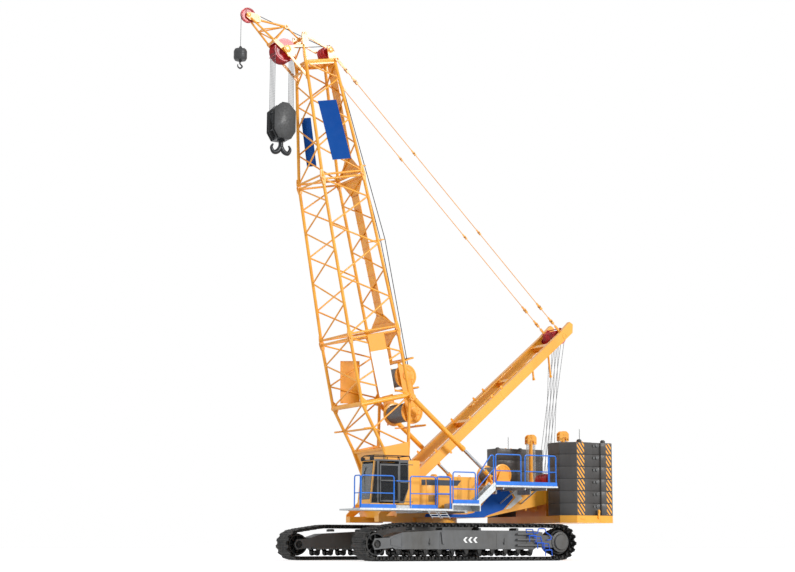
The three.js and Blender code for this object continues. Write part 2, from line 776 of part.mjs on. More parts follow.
function hoistPost(side) {
  const y = (side * hoistPostSpacing) / 2;
  const x = hoistPostX;
  return join([
    block(x - 170, x + 170, y - 140, y + 140, frameRearTop + seat, frameRearTop + 300),
    block(x - 75, x + 75, y - 75, y + 75, frameRearTop + 290, hoistPostTop - 60),
    plate([[x - 230, hoistPostTop - 350], [x + 230, hoistPostTop - 350], [x + 230, hoistPostTop - 90],
      [x + 110, hoistPostTop + 60], [x - 110, hoistPostTop + 60], [x - 230, hoistPostTop - 90]],
        y - 110, y + 110),
  ]);
}

// ---------------------------------------------------------------- lattice boom
// Boom pieces: X runs along the boom from the foot, Z points to the boom's back.
const mix = (a, b, t) => a + (b - a) * t;

// chord centres of one section, at the share t of its length
function chordPoints(section, t) {
  const { from, to, start, end } = section;
  const half = mix(start.half, end.half, t);
  const [front, back] = [mix(start.front, end.front, t), mix(start.back, end.back, t)];
  const x = mix(from, to, t);
  return { FL: [x, half, front], BL: [x, half, back], BR: [x, -half, back], FR: [x, -half, front] };
}

const fullEnd = { half: boomHalfWidth, front: -boomHalfDepth, back: boomHalfDepth };
const neckEnd = { half: neckHalfWidth, front: -neckHalfDepth, back: neckHalfDepth };
const headEnd = { half: headHalfWidth, front: headFront, back: headBack };
const baseSection = { from: heavyFrameAt, to: baseLength - seat, start: fullEnd, end: fullEnd };
const insertSection = { from: baseLength, to: baseLength + insertLength - seat, start: fullEnd,
  end: neckEnd };
const topSection = { from: baseLength + insertLength, to: boomEnd, start: neckEnd, end: headEnd };

// Zigzag lacing on one face. A stretch runs down from t1 to t0, and its bays grow by the given factor.
function zigzag(section, [a, b], bays, t0, t1, growth) {
  const share = (i) => (growth === 1 ? i / bays : (1 - growth ** (i / bays)) / (1 - growth));
  const parts = [];
  for (let i = 0; i < bays; i += 1) {
    const [from, to] = i % 2 ? [b, a] : [a, b];
    parts.push(bar(chordPoints(section, mix(t1, t0, share(i)))[from],
      chordPoints(section, mix(t1, t0, share(i + 1)))[to], laceRadius, 3));
  }
  return parts;
}

function lattice(section, faces, inset) {
  const span = section.to - section.from;
  const [t0, t1] = [inset[0] / span, 1 - inset[1] / span];
  const [low, high] = [chordPoints(section, t0), chordPoints(section, t1)];
  const [start, end] = [chordPoints(section, 0), chordPoints(section, 1)];
  const parts = Object.keys(start).map((key) => bar(start[key], end[key], chordRadius, 4));
  for (const { pair, bays, growth = 1, below = t0 } of faces) {
    for (const ring of [low, high]) parts.push(bar(ring[pair[0]], ring[pair[1]], strutRadius, 3));
    parts.push(...zigzag(section, pair, bays, below, t1, growth));
  }
  return parts;
}

// a plank along the boom's back, outside the lacing, wide where it meets a section joint
function backWalk(section, inset, wideLow, wideHigh) {
  const span = section.to - section.from;
  const [x0, x1] = [section.from + inset[0] - 40, section.to - inset[1] + 40];
  const at = (x) => chordPoints(section, (x - section.from) / span).BL;
  const wide = (x) => at(x)[1] - chordRadius - 40;
  const edge = [[x0, wideLow ? wide(x0) : plankHalfWidth]];
  if (wideLow) edge.push([x0 + wideLow, plankHalfWidth]);
  if (wideHigh) edge.push([x1 - wideHigh, plankHalfWidth]);
  edge.push([x1, wideHigh ? wide(x1) : plankHalfWidth]);
  const outline = slab([...edge, ...edge.map(([x, y]) => [x, -y]).reverse()], -3000, 3000);
  const lift = strutRadius - 8;
  return outline.intersect(plate([
    [x0, at(x0)[2] + lift], [x1, at(x1)[2] + lift], [x1, at(x1)[2] + lift + plankThickness],
    [x0, at(x0)[2] + lift + plankThickness],
  ], -3000, 3000));
}

const leftFace = ['FL', 'BL'];
const rightFace = ['FR', 'BR'];
const frontFace = ['FL', 'FR'];
const backFace = ['BL', 'BR'];

function boomBase() {
  const span = baseSection.to - baseSection.from;
  const inset = [chordRadius, jointGap];
  const aboveDrum = (frontDrumAlong + drumFlangeRadius + 110 - heavyFrameAt) / span;
  const parts = lattice(baseSection, [
    { pair: leftFace, bays: 3 }, { pair: rightFace, bays: 3 }, { pair: frontFace, bays: 3 },
    { pair: backFace, bays: 1, below: aboveDrum },
  ], inset);
  const drumFrame = chordPoints(baseSection, aboveDrum);
  parts.push(bar(drumFrame.BL, drumFrame.BR, strutRadius, 3));
  for (const side of [-1, 1]) {
    const y = side * boomHalfWidth;
    parts.push(bar([heavyFrameAt, y, -boomHalfDepth], [plateEnd, y, footFront], chordRadius, 4));
    parts.push(bar([heavyFrameAt, y, boomHalfDepth], [plateEnd, y, footBack], chordRadius, 4));
    parts.push(bar([heavyFrameAt, y, -boomHalfDepth], [heavyFrameAt, y, boomHalfDepth], heavyRadius, 4));
    parts.push(bar([heavyFrameAt, y, boomHalfDepth], [midFrameAt, y, midFrameFront], laceRadius, 3));
    parts.push(bar([midFrameAt, y, midFrameFront], [plateEnd, y, footBack], laceRadius, 3));
    parts.push(plate([
      [plateEnd + 90, footFront - 60], [plateEnd + 90, footBack + 50], [300, 200], [-60, 150], [-150, 0],
      [-60, -150], [300, -200],
    ], y - footLugWidth / 2, y + footLugWidth / 2));
    const bracket = side * (drumLength / 2 + 90);
    parts.push(plate([
      [rearDrumAlong - 380, boomHalfDepth - 60], [frontDrumAlong + 620, boomHalfDepth - 60],
      [frontDrumAlong + 160, drumOffset + 150], [rearDrumAlong - 160, drumOffset + 150],
    ], bracket - 20, bracket + 20));
    parts.push(bar([backstopAlong, side * (boomHalfWidth + 20), boomHalfDepth],
      [backstopAlong, side * (backstopSpacing / 2 + backstopEyeWidth / 2 + 20), boomHalfDepth],
        backstopPin, 10));
  }
  const across = (x, z, r) => parts.push(bar([x, -boomHalfWidth, z], [x, boomHalfWidth, z], r, 4));
  across(heavyFrameAt, -boomHalfDepth, heavyRadius);
  across(heavyFrameAt, boomHalfDepth, heavyRadius);
  across(midFrameAt, midFrameFront, strutRadius);
  across(plateEnd, footFront, chordRadius);
  parts.push(bar([heavyFrameAt, boomHalfWidth, -boomHalfDepth], [midFrameAt, -boomHalfWidth,
    midFrameFront], laceRadius, 3));
  parts.push(bar([midFrameAt, boomHalfWidth, midFrameFront], [plateEnd, -boomHalfWidth, footFront],
    strutRadius, 3));
  parts.push(block(plateEnd - 620, plateEnd, -boomHalfWidth, boomHalfWidth, footBack - 140, footBack - 90));
  parts.push(backWalk({ ...baseSection, from: frontDrumAlong + drumFlangeRadius + 110 }, [0, jointGap],
    0, 560));
  return cut(trimmed(join(parts), -1000, baseSection.to), crossBar(0, 0, boreRound(pinRadius, 16),
    -1500, 1500, 16),
    crossBar(frontDrumAlong, drumOffset, boreRound(drumShaftRadius, 12), -1100, 1100, 12),
    crossBar(rearDrumAlong, drumOffset, boreRound(drumShaftRadius, 12), -1100, 1100, 12));
}

// squares off a section's ends, so that two sections meet face to face
const trimmed = (solid, x0, x1) => solid.intersect(block(x0, x1, -3000, 3000, -3000, 3000));

function boomInsert() {
  const inset = [jointGap, jointGap];
  const growth = 1.45;
  return trimmed(join([
    ...lattice(insertSection, [
      { pair: leftFace, bays: 6, growth }, { pair: ['BR', 'FR'], bays: 6, growth },
      { pair: ['FR', 'FL'], bays: 6, growth }, { pair: backFace, bays: 6, growth },
    ], inset),
    backWalk(insertSection, inset, 620, 700),
  ]), insertSection.from, insertSection.to);
}

// the bar across the boom head that takes the jib's stay
const jibStay = [boomEnd + 1000, 0, -250];
const stayEye = (side) => [jibStay[0], side * headHalfWidth, jibStay[2]];
const headBar = (radius) => bar(stayEye(-1), stayEye(1), radius, 6);

function boomTop() {
  const inset = [jointGap, 40];
  const growth = 1.8;
  const parts = lattice(topSection, [
    { pair: leftFace, bays: 5, growth }, { pair: rightFace, bays: 5, growth },
    { pair: frontFace, bays: 5, growth }, { pair: backFace, bays: 5, growth },
  ], inset);
  parts.push(backWalk(topSection, inset, 700, 0));
  const w = headHalfWidth;
  for (const side of [-1, 1]) {
    const y = side * w;
    parts.push(plate([
      [boomEnd - 120, headFront - 60], [boomEnd - 120, headBack + 60], [boomEnd + 60, headBack + 120],
      [guideSheaveAlong + 140, guideSheaveOffset + 60], [guideSheaveAlong + 160, guideSheaveOffset - 120],
      [boomEnd + 1080, -120], [boomEnd + 1200, -170], [boomEnd + 1210, -290], [boomEnd + 1100, -340],
      [boomEnd + 300, headFront - 60],
    ], y - 30, y + 30));
    parts.push(plate([
      [boomEnd - 700, headFront - 40], [boomEnd - 250, headFront - 330],
      [headSheaveAlong - 120, headSheaveOffset - 90], [headSheaveAlong + 110, headSheaveOffset - 110],
      [headSheaveAlong + 130, headSheaveOffset + 120], [boomEnd + 700, headFront + 40],
      [boomEnd + 200, headFront + 100],
    ], y - 30, y + 30));
    parts.push(bar([boomEnd, side * (w + 20), headBack + 60],
      [boomEnd, side * (pendantSpacing / 2 - 25 - seat), headBack + 60], 45, 8));
    parts.push(bar([headSheaveAlong + 60, side * (w - 20), headSheaveOffset + 60],
      [headSheaveAlong + 60, side * (w + 20), headSheaveOffset + 60], 70, 8));
  }
  const across = (x, z, r) => parts.push(bar([x, -w, z], [x, w, z], r, 6));
  across(boomEnd, headFront, 60);
  parts.push(headBar(jibStayBar));
  across(boomEnd - 380, headFront - 190, 45);
  return cut(trimmed(join(parts), topSection.from, 30000),
    crossBar(headSheaveAlong, headSheaveOffset, boreRound(pinRadius, 12), -900, 900, 12),
    crossBar(guideSheaveAlong, guideSheaveOffset, boreRound(pinRadius, 12), -900, 900, 12));
}

// grooved sheaves side by side, with the ends of their axle
function sheavePack(x, z, radius, width, grooves, axleReach, sides = 16) {
  const rim = radius * grooveShare;
  const half = width / 2;
  const profile = [[0, -half - axleReach], [pinRadius, -half - axleReach], [pinRadius, -half]];
  for (let i = 0; i < grooves; i += 1) {
    const y = mix(-half, half, i / grooves);
    profile.push([radius, y], [radius - rim, y + half / grooves]);
  }
  profile.push([radius, half], [pinRadius, half], [pinRadius, half + axleReach], [0, half + axleReach]);
  return turned(x, z, 0, profile, sides);
}

// where a rope lies in the groove of a sheave
const ropeLine = (radius) => radius * (1 - grooveShare) + ropeRadius / 2;

// a rope that leaves a sheave plumb, in the boom's own axes
function fall(x, z, reach, drop) {
  const [dx, dz] = turn(reach, 0, -boomAngle);
  const [ex, ez] = turn(reach, -drop, -boomAngle);
  return bar([x + dx, 0, z + dz], [x + ex, 0, z + ez], ropeRadius, 6);
}

function winch(x, z, length, flange, barrel) {
  const half = length / 2;
  const f = flangeThickness;
  const reach = 106;
  return turned(x, z, 0, [
    [0, -half - reach], [drumShaftRadius, -half - reach], [drumShaftRadius, -half], [flange, -half],
    [flange, -half + f], [barrel, -half + f], [barrel, half - f], [flange, half - f], [flange, half],
    [drumShaftRadius, half], [drumShaftRadius, half + reach], [0, half + reach],
  ], 16);
}

function tipJib() {
  const [tx, tz] = [tipSheaveAlong, tipSheaveOffset];
  const root = [headSheaveAlong + 395, headSheaveOffset - 395];
  const apex = [tx - 520, 0, headSheaveOffset + 360];
  const parts = [];
  for (const side of [-1, 1]) {
    const foot = [root[0], side * 300, root[1]];
    const nose = [tx - 120, side * 100, tz + 60];
    const halfway = foot.map((v, i) => mix(v, nose[i], 0.5));
    parts.push(bar(foot, nose, 40, 4), bar(foot, apex, laceRadius, 3), bar(halfway, apex, laceRadius, 3));
    parts.push(plate([
      [tx - 330, tz + 420], [tx - 200, tz + 20], [tx - 60, tz - 110], [tx + 110, tz - 60],
      [tx + 80, tz + 180], [tx - 60, tz + 480],
    ], side * 85, side * 115));
    parts.push(plate([
      [headSheaveAlong - 90, headSheaveOffset - 60], [headSheaveAlong, headSheaveOffset + 110],
      [root[0] + 70, root[1] + 60], [root[0] + 30, root[1] - 70], [root[0] - 60, root[1] - 40],
    ], side * 330, side * 300));
  }
  parts.push(bar([tx - 200, 0, tz + 430], apex, 42, 4));
  parts.push(block(tx - 320, tx - 70, -115, 115, tz + 395, tz + 465));
  parts.push(bar([root[0], -310, root[1]], [root[0], 310, root[1]], 45, 4));
  parts.push(bar(apex, jibStay, 36, 4));
  return cut(join(parts), headBar(jibStayBar + seat),
    crossBar(tx, tz, boreRound(pinRadius, 12), -400, 400, 12),
    crossBar(headSheaveAlong, headSheaveOffset, boreRound(pinRadius, 12), -900, 900, 12));
}

// ---------------------------------------------------------------- mast
// Mast pieces: X runs along the mast from the foot, Z points below it.
function mast() {
  const parts = [];
  for (const side of [-1, 1]) {
    const y = side * mastHalfSpacing;
    parts.push(plate([
      [-140, -70], [-140, 70], [150, 140], [700, mastBottomOffset], [mastLength - 250, mastBottomOffset],
      [mastLength, mastTopOffset + 120], [mastLength - 60, mastTopOffset - 60],
      [mastLength - 800, mastTopOffset], [700, mastTopOffset], [150, -140],
    ], y - mastBeamWidth / 2, y + mastBeamWidth / 2));
    const inner = side * (mastHalfSpacing - mastBeamWidth / 2 + 10);
    parts.push(bar([pendantMastAlong, inner, pendantMastOffset],
      [pendantMastAlong, side * (pendantSpacing / 2 + 25 + seat), pendantMastOffset], 45, 8));
  }
  const inner = mastHalfSpacing - mastBeamWidth / 2 + 10;
  for (const x of mastCrossMembers) {
    parts.push(block(x - 90, x + 90, -inner, inner, mastTopOffset + 70, mastBottomOffset - 70));
  }
  return cut(join(parts), crossBar(0, 0, boreRound(pinRadius, 16), -1400, 1400, 16),
    crossBar(mastSheaveAlong, mastSheaveOffset, boreRound(pinRadius, 12), -1400, 1400, 12));
}

// ---------------------------------------------------------------- pendants and backstops
function pendant(side) {
  const y = (side * pendantSpacing) / 2;
  const [x0, z0] = onBoom(boomEnd, headBack + 60);
  const [x1, z1] = onMast(pendantMastAlong, pendantMastOffset);
  const eye = (x, z) => crossBar(x, z, 85, y - 25, y + 25, 12);
  return join([bar([x0, y, z0], [x1, y, z1], pendantWidth / 2, 6), eye(x0, z0), eye(x1, z1)]);
}

const backstopTop = onBoom(backstopAlong, boomHalfDepth);
const backstopRun = [backstopFootX - backstopTop[0], backstopFootZ - backstopTop[1]];
const backstopLength = Math.hypot(...backstopRun);
const alongBackstop = (s) => [0, 1].map((i) => backstopTop[i] + (backstopRun[i] * s) / backstopLength);

// the tube, hinged on the boom, open at its lower end
function backstopBarrel(side) {
  const y = (side * backstopSpacing) / 2;
  const at = (s) => [alongBackstop(s)[0], y, alongBackstop(s)[1]];
  const tube = bar(at(60), at(barrelLength), barrelRadius, 16);
  const eye = crossBar(...backstopTop, 130, y - backstopEyeWidth / 2, y + backstopEyeWidth / 2, 16);
  return cut(join([tube, eye]), bar(at(220), at(barrelLength + 50),
    rodRadius + seat / Math.cos(Math.PI / 16), 16),
    crossBar(...backstopTop, boreRound(backstopPin, 16), y - 200, y + 200, 16));
}

// the rod, whose eye stands free of its pin on the upper frame
function backstopRod(side) {
  const y = (side * backstopSpacing) / 2;
  const at = (s) => [alongBackstop(s)[0], y, alongBackstop(s)[1]];
  const rod = bar(at(rodStart), at(backstopLength - 60), rodRadius, 16);
  const eye = crossBar(backstopFootX, backstopFootZ, 120, y - backstopEyeWidth / 2,
    y + backstopEyeWidth / 2, 16);
  return join([rod, eye]);
}

// ---------------------------------------------------------------- hooks
const bentBar = (points, radius) => {
  const curve = new THREE.CatmullRomCurve3(points.map(([x, z]) => new THREE.Vector3(x, 0, z)));
  const section = new THREE.Shape();
  section.absarc(0, 0, radius, 0, 2 * Math.PI);
  return toSolid(new THREE.ExtrudeGeometry(section, { steps: 8, extrudePath: curve, curveSegments: 2 }));
};

// hangs from (0, 0), the head sheave axle
function mainHookBlock() {
  const half = mainBlockWidth / 2;
  const top = -mainRopeDrop;
  const shell = plate([
    [-150, top], [150, top], [blockHalfLength, top - 420], [blockHalfLength, top - 1250], [260, top - 1560],
    [-260, top - 1560], [-blockHalfLength, top - 1250], [-blockHalfLength, top - 420],
  ], -half, half);
  const z = top - 1560;
  const shank = bar([0, 0, z + 10], [0, 0, z - 260], 90, 10);
  const horn = (side) => bentBar([
    [0, z - 220], [side * 120, z - 440], [side * 300, z - 500], [side * 400, z - 330], [side * 330,
      z - 180],
  ], 72);
  const socket = (x) => bar([x, 0, top - ropeSocketDrop], [x, 0, top - 450], 45, 8);
  return join([shell, shank, horn(-1), horn(1), socket(-ropeLine(headSheaveRadius)),
    socket(ropeLine(headSheaveRadius))]);
}

// hangs from the front of the tip sheave
function auxHook() {
  const top = -auxRopeDrop;
  const weight = new THREE.LatheGeometry([
    [0, top - 640], [50, top - 640], [60, top - 580], [220, top - 560], [265, top - 480], [265, top - 200],
    [230, top - 120], [70, top - 90], [60, top], [0, top],
  ].map(([r, z]) => new THREE.Vector2(r, z)), 14);
  weight.rotateX(Math.PI / 2);
  const hook = bentBar([
    [0, top - 620], [10, top - 700], [-85, top - 800], [0, top - 885], [95, top - 830], [95, top - 730],
  ], 30);
  return join([toSolid(weight), hook]);
}

// ---------------------------------------------------------------- assembly
const machine = new THREE.Group();

for (const [label, side] of mirrored) {
  const centre = (side * gauge) / 2;
  machine.add(node(`track_frame_${label}`, sideFrame(centre, side), finish.frameGrey()));
  machine.add(node(`track_${label}`, track(centre), finish.trackSteel()));
  machine.add(node(`lower_rollers_${label}`, rollerTrain(centre), finish.trackSteel()));
  machine.add(node(`idler_${label}`, trackWheel(idlerX, idlerRadius, wheelFit(idlerRadius), centre),
    finish.trackSteel()));
  machine.add(node(`sprocket_${label}`, trackWheel(sprocketX, sprocketRadius, wheelFit(sprocketRadius),
    centre), finish.trackSteel()));
}
machine.add(node('carbody', carbody(), finish.frameGrey()));
machine.add(node('slew_ring', slewRing(), finish.yellow()));

const upper = new THREE.Group();
machine.add(upper);
upper.add(node('upper_frame', upperFrame(), finish.yellow()));
upper.add(node('housing_left', housing(housingRear, housingFront, 1, leftDoorCentre), finish.yellow()));
upper.add(node('engine_housing', housing(engineHousingRear, housingFrontRight, -1, rightDoorCentre,
  [engineRear + 200, engineFront - 200]), finish.yellow()));
upper.add(node('service_door_left', serviceDoor(1, leftDoorCentre), finish.yellow()));
upper.add(node('service_door_right', serviceDoor(-1, rightDoorCentre), finish.yellow()));
upper.add(node('engine_block', block(engineRear, engineFront, -engineOuter, -engineInner,
  housingBottom + seat, engineTop), finish.bareSteel()));
upper.add(node('cab_shell', cabShell(), finish.darkCab()));
upper.add(node('cab_door', cabDoor(), finish.darkCab()));
upper.add(node('cab_door_glass', doorGlass(), finish.glass()));
upper.add(node('windscreen', windscreen(), finish.glass()));
upper.add(node('operator_seat', operatorSeat(), finish.seatBlack()));
upper.add(node('control_console', controlConsole(), finish.seatBlack()));
upper.add(node('walkway_left', lowerWalkway(1), finish.walkGrey()));
upper.add(node('walkway_right', lowerWalkway(-1), finish.walkGrey()));
upper.add(node('walkway_rear', rearWalkway(), finish.walkGrey()));
upper.add(node('handrail_left', handrailLeft(), finish.railBlue()));
upper.add(node('handrail_right', handrailRight(), finish.railBlue()));
upper.add(node('handrail_rear', handrailRear(), finish.railBlue()));
upper.add(node('luffing_winch', winch(luffDrumX, luffDrumZ, luffDrumLength, 430, drumRadius),
  finish.yellow()));
upper.add(node('rear_sheaves', sheavePack(rearBlockX, rearBlockZ, rearBlockRadius, rearBlockWidth, 3, 65),
  finish.sheaveRed()));
upper.add(node('counterweight_tray', counterweightTray(), finish.yellow()));
for (const [label, side] of mirrored) {
  upper.add(node(`counterweight_${label}`, counterweightStack(side), finish.frameGrey()));
  upper.add(node(`hoist_post_${label}`, hoistPost(side), finish.yellow()));
  upper.add(node(`pendant_${label}`, pendant(side), finish.yellow()));
  upper.add(node(`backstop_barrel_${label}`, backstopBarrel(side), finish.yellow()));
  upper.add(node(`backstop_rod_${label}`, backstopRod(side), finish.bareSteel()));
}

const boomPieces = new THREE.Group();
boomPieces.position.set(footX, 0, footZ);
boomPieces.rotation.y = -boomAngle * rad;
upper.add(boomPieces);
boomPieces.add(node('boom_base', boomBase(), finish.yellow()));
boomPieces.add(node('boom_insert', boomInsert(), finish.yellow()));
boomPieces.add(node('boom_top', boomTop(), finish.yellow()));
boomPieces.add(node('tip_jib', tipJib(), finish.yellow()));
boomPieces.add(node('main_winch', winch(frontDrumAlong, drumOffset, drumLength, drumFlangeRadius,
  drumRadius),
  finish.yellow()));
boomPieces.add(node('aux_winch', winch(rearDrumAlong, drumOffset, drumLength, drumFlangeRadius, drumRadius),
  finish.yellow()));
const mainFalls = [-1, 1].map((end) => fall(headSheaveAlong, headSheaveOffset,
  end * ropeLine(headSheaveRadius),
  mainRopeDrop + ropeSocketDrop - seat));
boomPieces.add(node('head_sheaves', join([sheavePack(headSheaveAlong, headSheaveOffset, headSheaveRadius,
  headSheavePack, 4, headHalfWidth + 30 - headSheavePack / 2), ...mainFalls]), finish.sheaveRed()));
boomPieces.add(node('tip_sheave', join([sheavePack(tipSheaveAlong, tipSheaveOffset, tipSheaveRadius,
  tipSheavePack,
  1, 50), fall(tipSheaveAlong, tipSheaveOffset, ropeLine(tipSheaveRadius), auxRopeDrop - seat)]),
    finish.sheaveRed()));
boomPieces.add(node('guide_sheaves', sheavePack(guideSheaveAlong, guideSheaveOffset, guideSheaveRadius,
  560, 3, 130),
  finish.sheaveRed()));

const mastPieces = new THREE.Group();
mastPieces.position.set(footX, 0, footZ);
mastPieces.rotation.y = -mastAngle * rad;
upper.add(mastPieces);
mastPieces.add(node('mast', mast(), finish.yellow()));
mastPieces.add(node('mast_sheaves', sheavePack(mastSheaveAlong, mastSheaveOffset, mastSheaveRadius,
  mastSheavePack,
  4, mastHalfSpacing - mastSheavePack / 2), finish.sheaveRed()));

const mainHook = node('main_hook_block', mainHookBlock(), finish.hookGrey());
const [mainX, mainZ] = onBoom(headSheaveAlong, headSheaveOffset);
mainHook.position.set(mainX, 0, mainZ);
upper.add(mainHook);
const auxiliaryHook = node('aux_hook', auxHook(), finish.hookGrey());
const [tipX, tipZ] = onBoom(tipSheaveAlong, tipSheaveOffset);
auxiliaryHook.position.set(tipX + ropeLine(tipSheaveRadius), 0, tipZ);
upper.add(auxiliaryHook);

// the origin goes to the bottom centre of the machine's box
const part = new THREE.Group();
part.add(machine);
const box = new THREE.Box3().setFromObject(machine, true);
machine.position.set(-(box.min.x + box.max.x) / 2, -(box.min.y + box.max.y) / 2, -box.min.z);

export default part;
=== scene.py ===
import json
import math
import random

import bmesh
import bpy
from mathutils import Matrix, Vector


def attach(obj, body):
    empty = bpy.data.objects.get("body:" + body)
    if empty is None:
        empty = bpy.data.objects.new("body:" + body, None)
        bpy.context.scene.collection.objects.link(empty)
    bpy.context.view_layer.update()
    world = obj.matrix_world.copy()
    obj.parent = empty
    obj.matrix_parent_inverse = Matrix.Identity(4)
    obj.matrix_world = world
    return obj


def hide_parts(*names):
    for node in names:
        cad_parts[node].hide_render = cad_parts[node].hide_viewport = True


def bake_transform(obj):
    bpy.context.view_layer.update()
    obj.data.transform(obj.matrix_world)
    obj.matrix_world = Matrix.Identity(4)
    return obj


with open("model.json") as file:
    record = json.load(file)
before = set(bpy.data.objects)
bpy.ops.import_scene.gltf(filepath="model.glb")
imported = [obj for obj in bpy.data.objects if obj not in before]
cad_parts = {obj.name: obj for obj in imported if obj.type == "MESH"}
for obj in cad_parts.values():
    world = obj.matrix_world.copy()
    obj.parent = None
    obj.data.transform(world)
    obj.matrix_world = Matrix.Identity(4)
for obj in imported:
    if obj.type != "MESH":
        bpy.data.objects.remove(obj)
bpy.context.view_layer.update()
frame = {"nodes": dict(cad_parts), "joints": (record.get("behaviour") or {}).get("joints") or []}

# Crawler crane with a lattice boom. Metres, +X forward, +Y to the operator's side, +Z up.
jointAt = {joint["name"]: Vector(joint["pos_m"]) for joint in frame["joints"] if joint.get("pos_m")}
foot = jointAt["boom_luff"]
slewX = jointAt["slew"].x
boomAngle = 77.75
mastAngle = 139.4


def armFrame(angle):
    return Matrix.Translation(foot) @ Matrix.Rotation(math.radians(-angle), 4, "Y")


# where pieces are drawn: on the row frame, from the slewing axis, or along boom and mast from their foot
asDrawn = Matrix.Identity(4)
fromSlew = Matrix.Translation((slewX, 0, 0))
alongBoom = armFrame(boomAngle)
alongMast = armFrame(mastAngle)
drawnFrom = {"boom": alongBoom, "mast": alongMast,
    **dict.fromkeys(("undercarriage", "upperworks", "cab_door", "service_door_left", "service_door_right"),
    fromSlew)}
sides = ((1, "left"), (-1, "right"))


class Settings(dict):
    # a settings dictionary whose entries are also read as attributes
    __getattr__ = dict.__getitem__


def mix(a, b, t):
    return a + (b - a) * t


def linear(hexColour):
    # sRGB hex to the linear values that shaders work in
    parts = [int(hexColour[i:i + 2], 16) / 255 for i in (1, 3, 5)]
    return [p / 12.92 if p <= 0.04045 else ((p + 0.055) / 1.055) ** 2.4 for p in parts] + [1]


def addBox(bm, corner, opposite):
    low, high = (Vector(pick(pair) for pair in zip(corner, opposite)) for pick in (min, max))
    place = Matrix.Translation((low + high) / 2) @ Matrix.Diagonal((*(high - low), 1))
    return bmesh.ops.create_cube(bm, size=1, matrix=place)["verts"]


def addTube(bm, start, end, radius, sides=12, endRadius=None):
    start, end = Vector(start), Vector(end)
    turn = Vector((0, 0, 1)).rotation_difference(end - start).to_matrix().to_4x4()
    return bmesh.ops.create_cone(bm, cap_ends=True, segments=sides, radius1=radius,
        radius2=radius if endRadius is None else endRadius, depth=(end - start).length,
        matrix=Matrix.Translation((start + end) / 2) @ turn)["verts"]


def addTubeX(bm, x0, x1, y, z, *size):
    addTube(bm, (x0, y, z), (x1, y, z), *size)


def addTubeY(bm, x, y0, y1, z, *size):
    addTube(bm, (x, y0, z), (x, y1, z), *size)


def addTubeZ(bm, x, y, z0, z1, *size):
    addTube(bm, (x, y, z0), (x, y, z1), *size)


def addTubes(bm, points, *size):
    # straight tubes from point to point
    for a, b in zip(points, points[1:]):
        addTube(bm, a, b, *size)


def around(count, x, z, radius, start=0.0, end=360.0):
    # places on a circle or, with an end, on an arc with a place at both of its ends
    shares = [i / (count - (end - start < 360)) for i in range(count)]
    turns = [math.radians(mix(start, end, share)) for share in shares]
    return [(x + radius * math.cos(turn), z + radius * math.sin(turn)) for turn in turns]


def addPlate(bm, outline, low, high, axis="Y"):
    # a flat outline, made as thick as the stretch from low to high along an axis
    low, high = sorted((low, high))
    place = {"X": lambda a, b: (low, a, b), "Y": lambda a, b: (a, low, b),
        "Z": lambda a, b: (a, b, low)}[axis]
    face = bm.faces.new([bm.verts.new(place(a, b)) for a, b in outline])
    grown = bmesh.ops.extrude_face_region(bm, geom=[face])["geom"]
    verts = [g for g in grown if isinstance(g, bmesh.types.BMVert)]
    along = {"X": (high - low, 0, 0), "Y": (0, high - low, 0), "Z": (0, 0, high - low)}[axis]
    bmesh.ops.translate(bm, verts=verts, vec=along)
    every = list({f for v in list(face.verts) + verts for f in v.link_faces})
    bmesh.ops.recalc_face_normals(bm, faces=every)
    return list(face.verts) + verts


def addTurned(bm, centre, profile, sides=32, axis="Y"):
    # (distance along the axis, radius) pairs, spun round the axis
    across = {"Y": lambda d, r: (0, d, r), "Z": lambda d, r: (r, 0, d), "X": lambda d, r: (d, r, 0)}[axis]
    bm.verts.index_update()
    verts = [bm.verts.new(Vector(centre) + Vector(across(d, r))) for d, r in profile]
    edges = [bm.edges.new(pair) for pair in zip(verts, verts[1:])]
    line = {"X": (1, 0, 0), "Y": (0, 1, 0), "Z": (0, 0, 1)}[axis]
    bmesh.ops.spin(bm, geom=verts + edges, cent=centre, axis=line, angle=math.tau, steps=sides,
        use_merge=True)
    near = [v for v in bm.verts if v.is_valid and v.index == -1]
    bmesh.ops.remove_doubles(bm, verts=near, dist=1e-5)
    made = [v for v in near if v.is_valid]
    bmesh.ops.recalc_face_normals(bm, faces=list({f for v in made for f in v.link_faces}))
    bm.verts.index_update()
    return made


def addCopy(bm, source, place):
    # a finished bmesh, copied in at a place
    shape = bpy.data.meshes.new("copy")
    source.to_mesh(shape)
    shape.transform(place)
    bm.from_mesh(shape)
    bpy.data.meshes.remove(shape)


def bevelAll(bm, width, segments=1):
    sharp = [e for e in bm.edges if e.is_manifold and e.calc_face_angle(0) > 0.6]
    bmesh.ops.bevel(bm, geom=sharp, offset=width, offset_type="OFFSET", affect="EDGES", segments=segments,
        profile=0.5, material=-1, clamp_overlap=True)


def makePiece(name, bm, finish, body="upperworks", replaces=None, place=None, smooth=38, slotName=None):
    if place is None:
        place = drawnFrom.get(body, asDrawn)
    bm.transform(place)
    mesh = bpy.data.meshes.new(name)
    bm.to_mesh(mesh)
    bm.free()
    for face in mesh.polygons:
        face.use_smooth = True
    mesh.set_sharp_from_angle(angle=math.radians(smooth))
    piece = bpy.data.objects.new(name, mesh)
    bpy.context.scene.collection.objects.link(piece)
    mesh.materials.append(paint[finish])
    if body:
        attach(piece, body)
    slotName or slotOf[finish]
    if replaces:
        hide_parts(replaces)
    return piece


def dress(finish, *nodes):
    # gives CAD nodes that stay their finish
    for node in nodes:
        mesh = frame["nodes"][node].data
        mesh.materials.clear()
        mesh.materials.append(paint[finish])


def addNode(tree, kind, settings=None, links=None):
    node = tree.nodes.new(kind)
    for key, value in (settings or {}).items():
        if hasattr(node, key):
            setattr(node, key, value)
        else:
            node.inputs[key].default_value = value
    for key, socket in (links or {}).items():
        tree.links.new(socket, node.inputs[key])
    return node


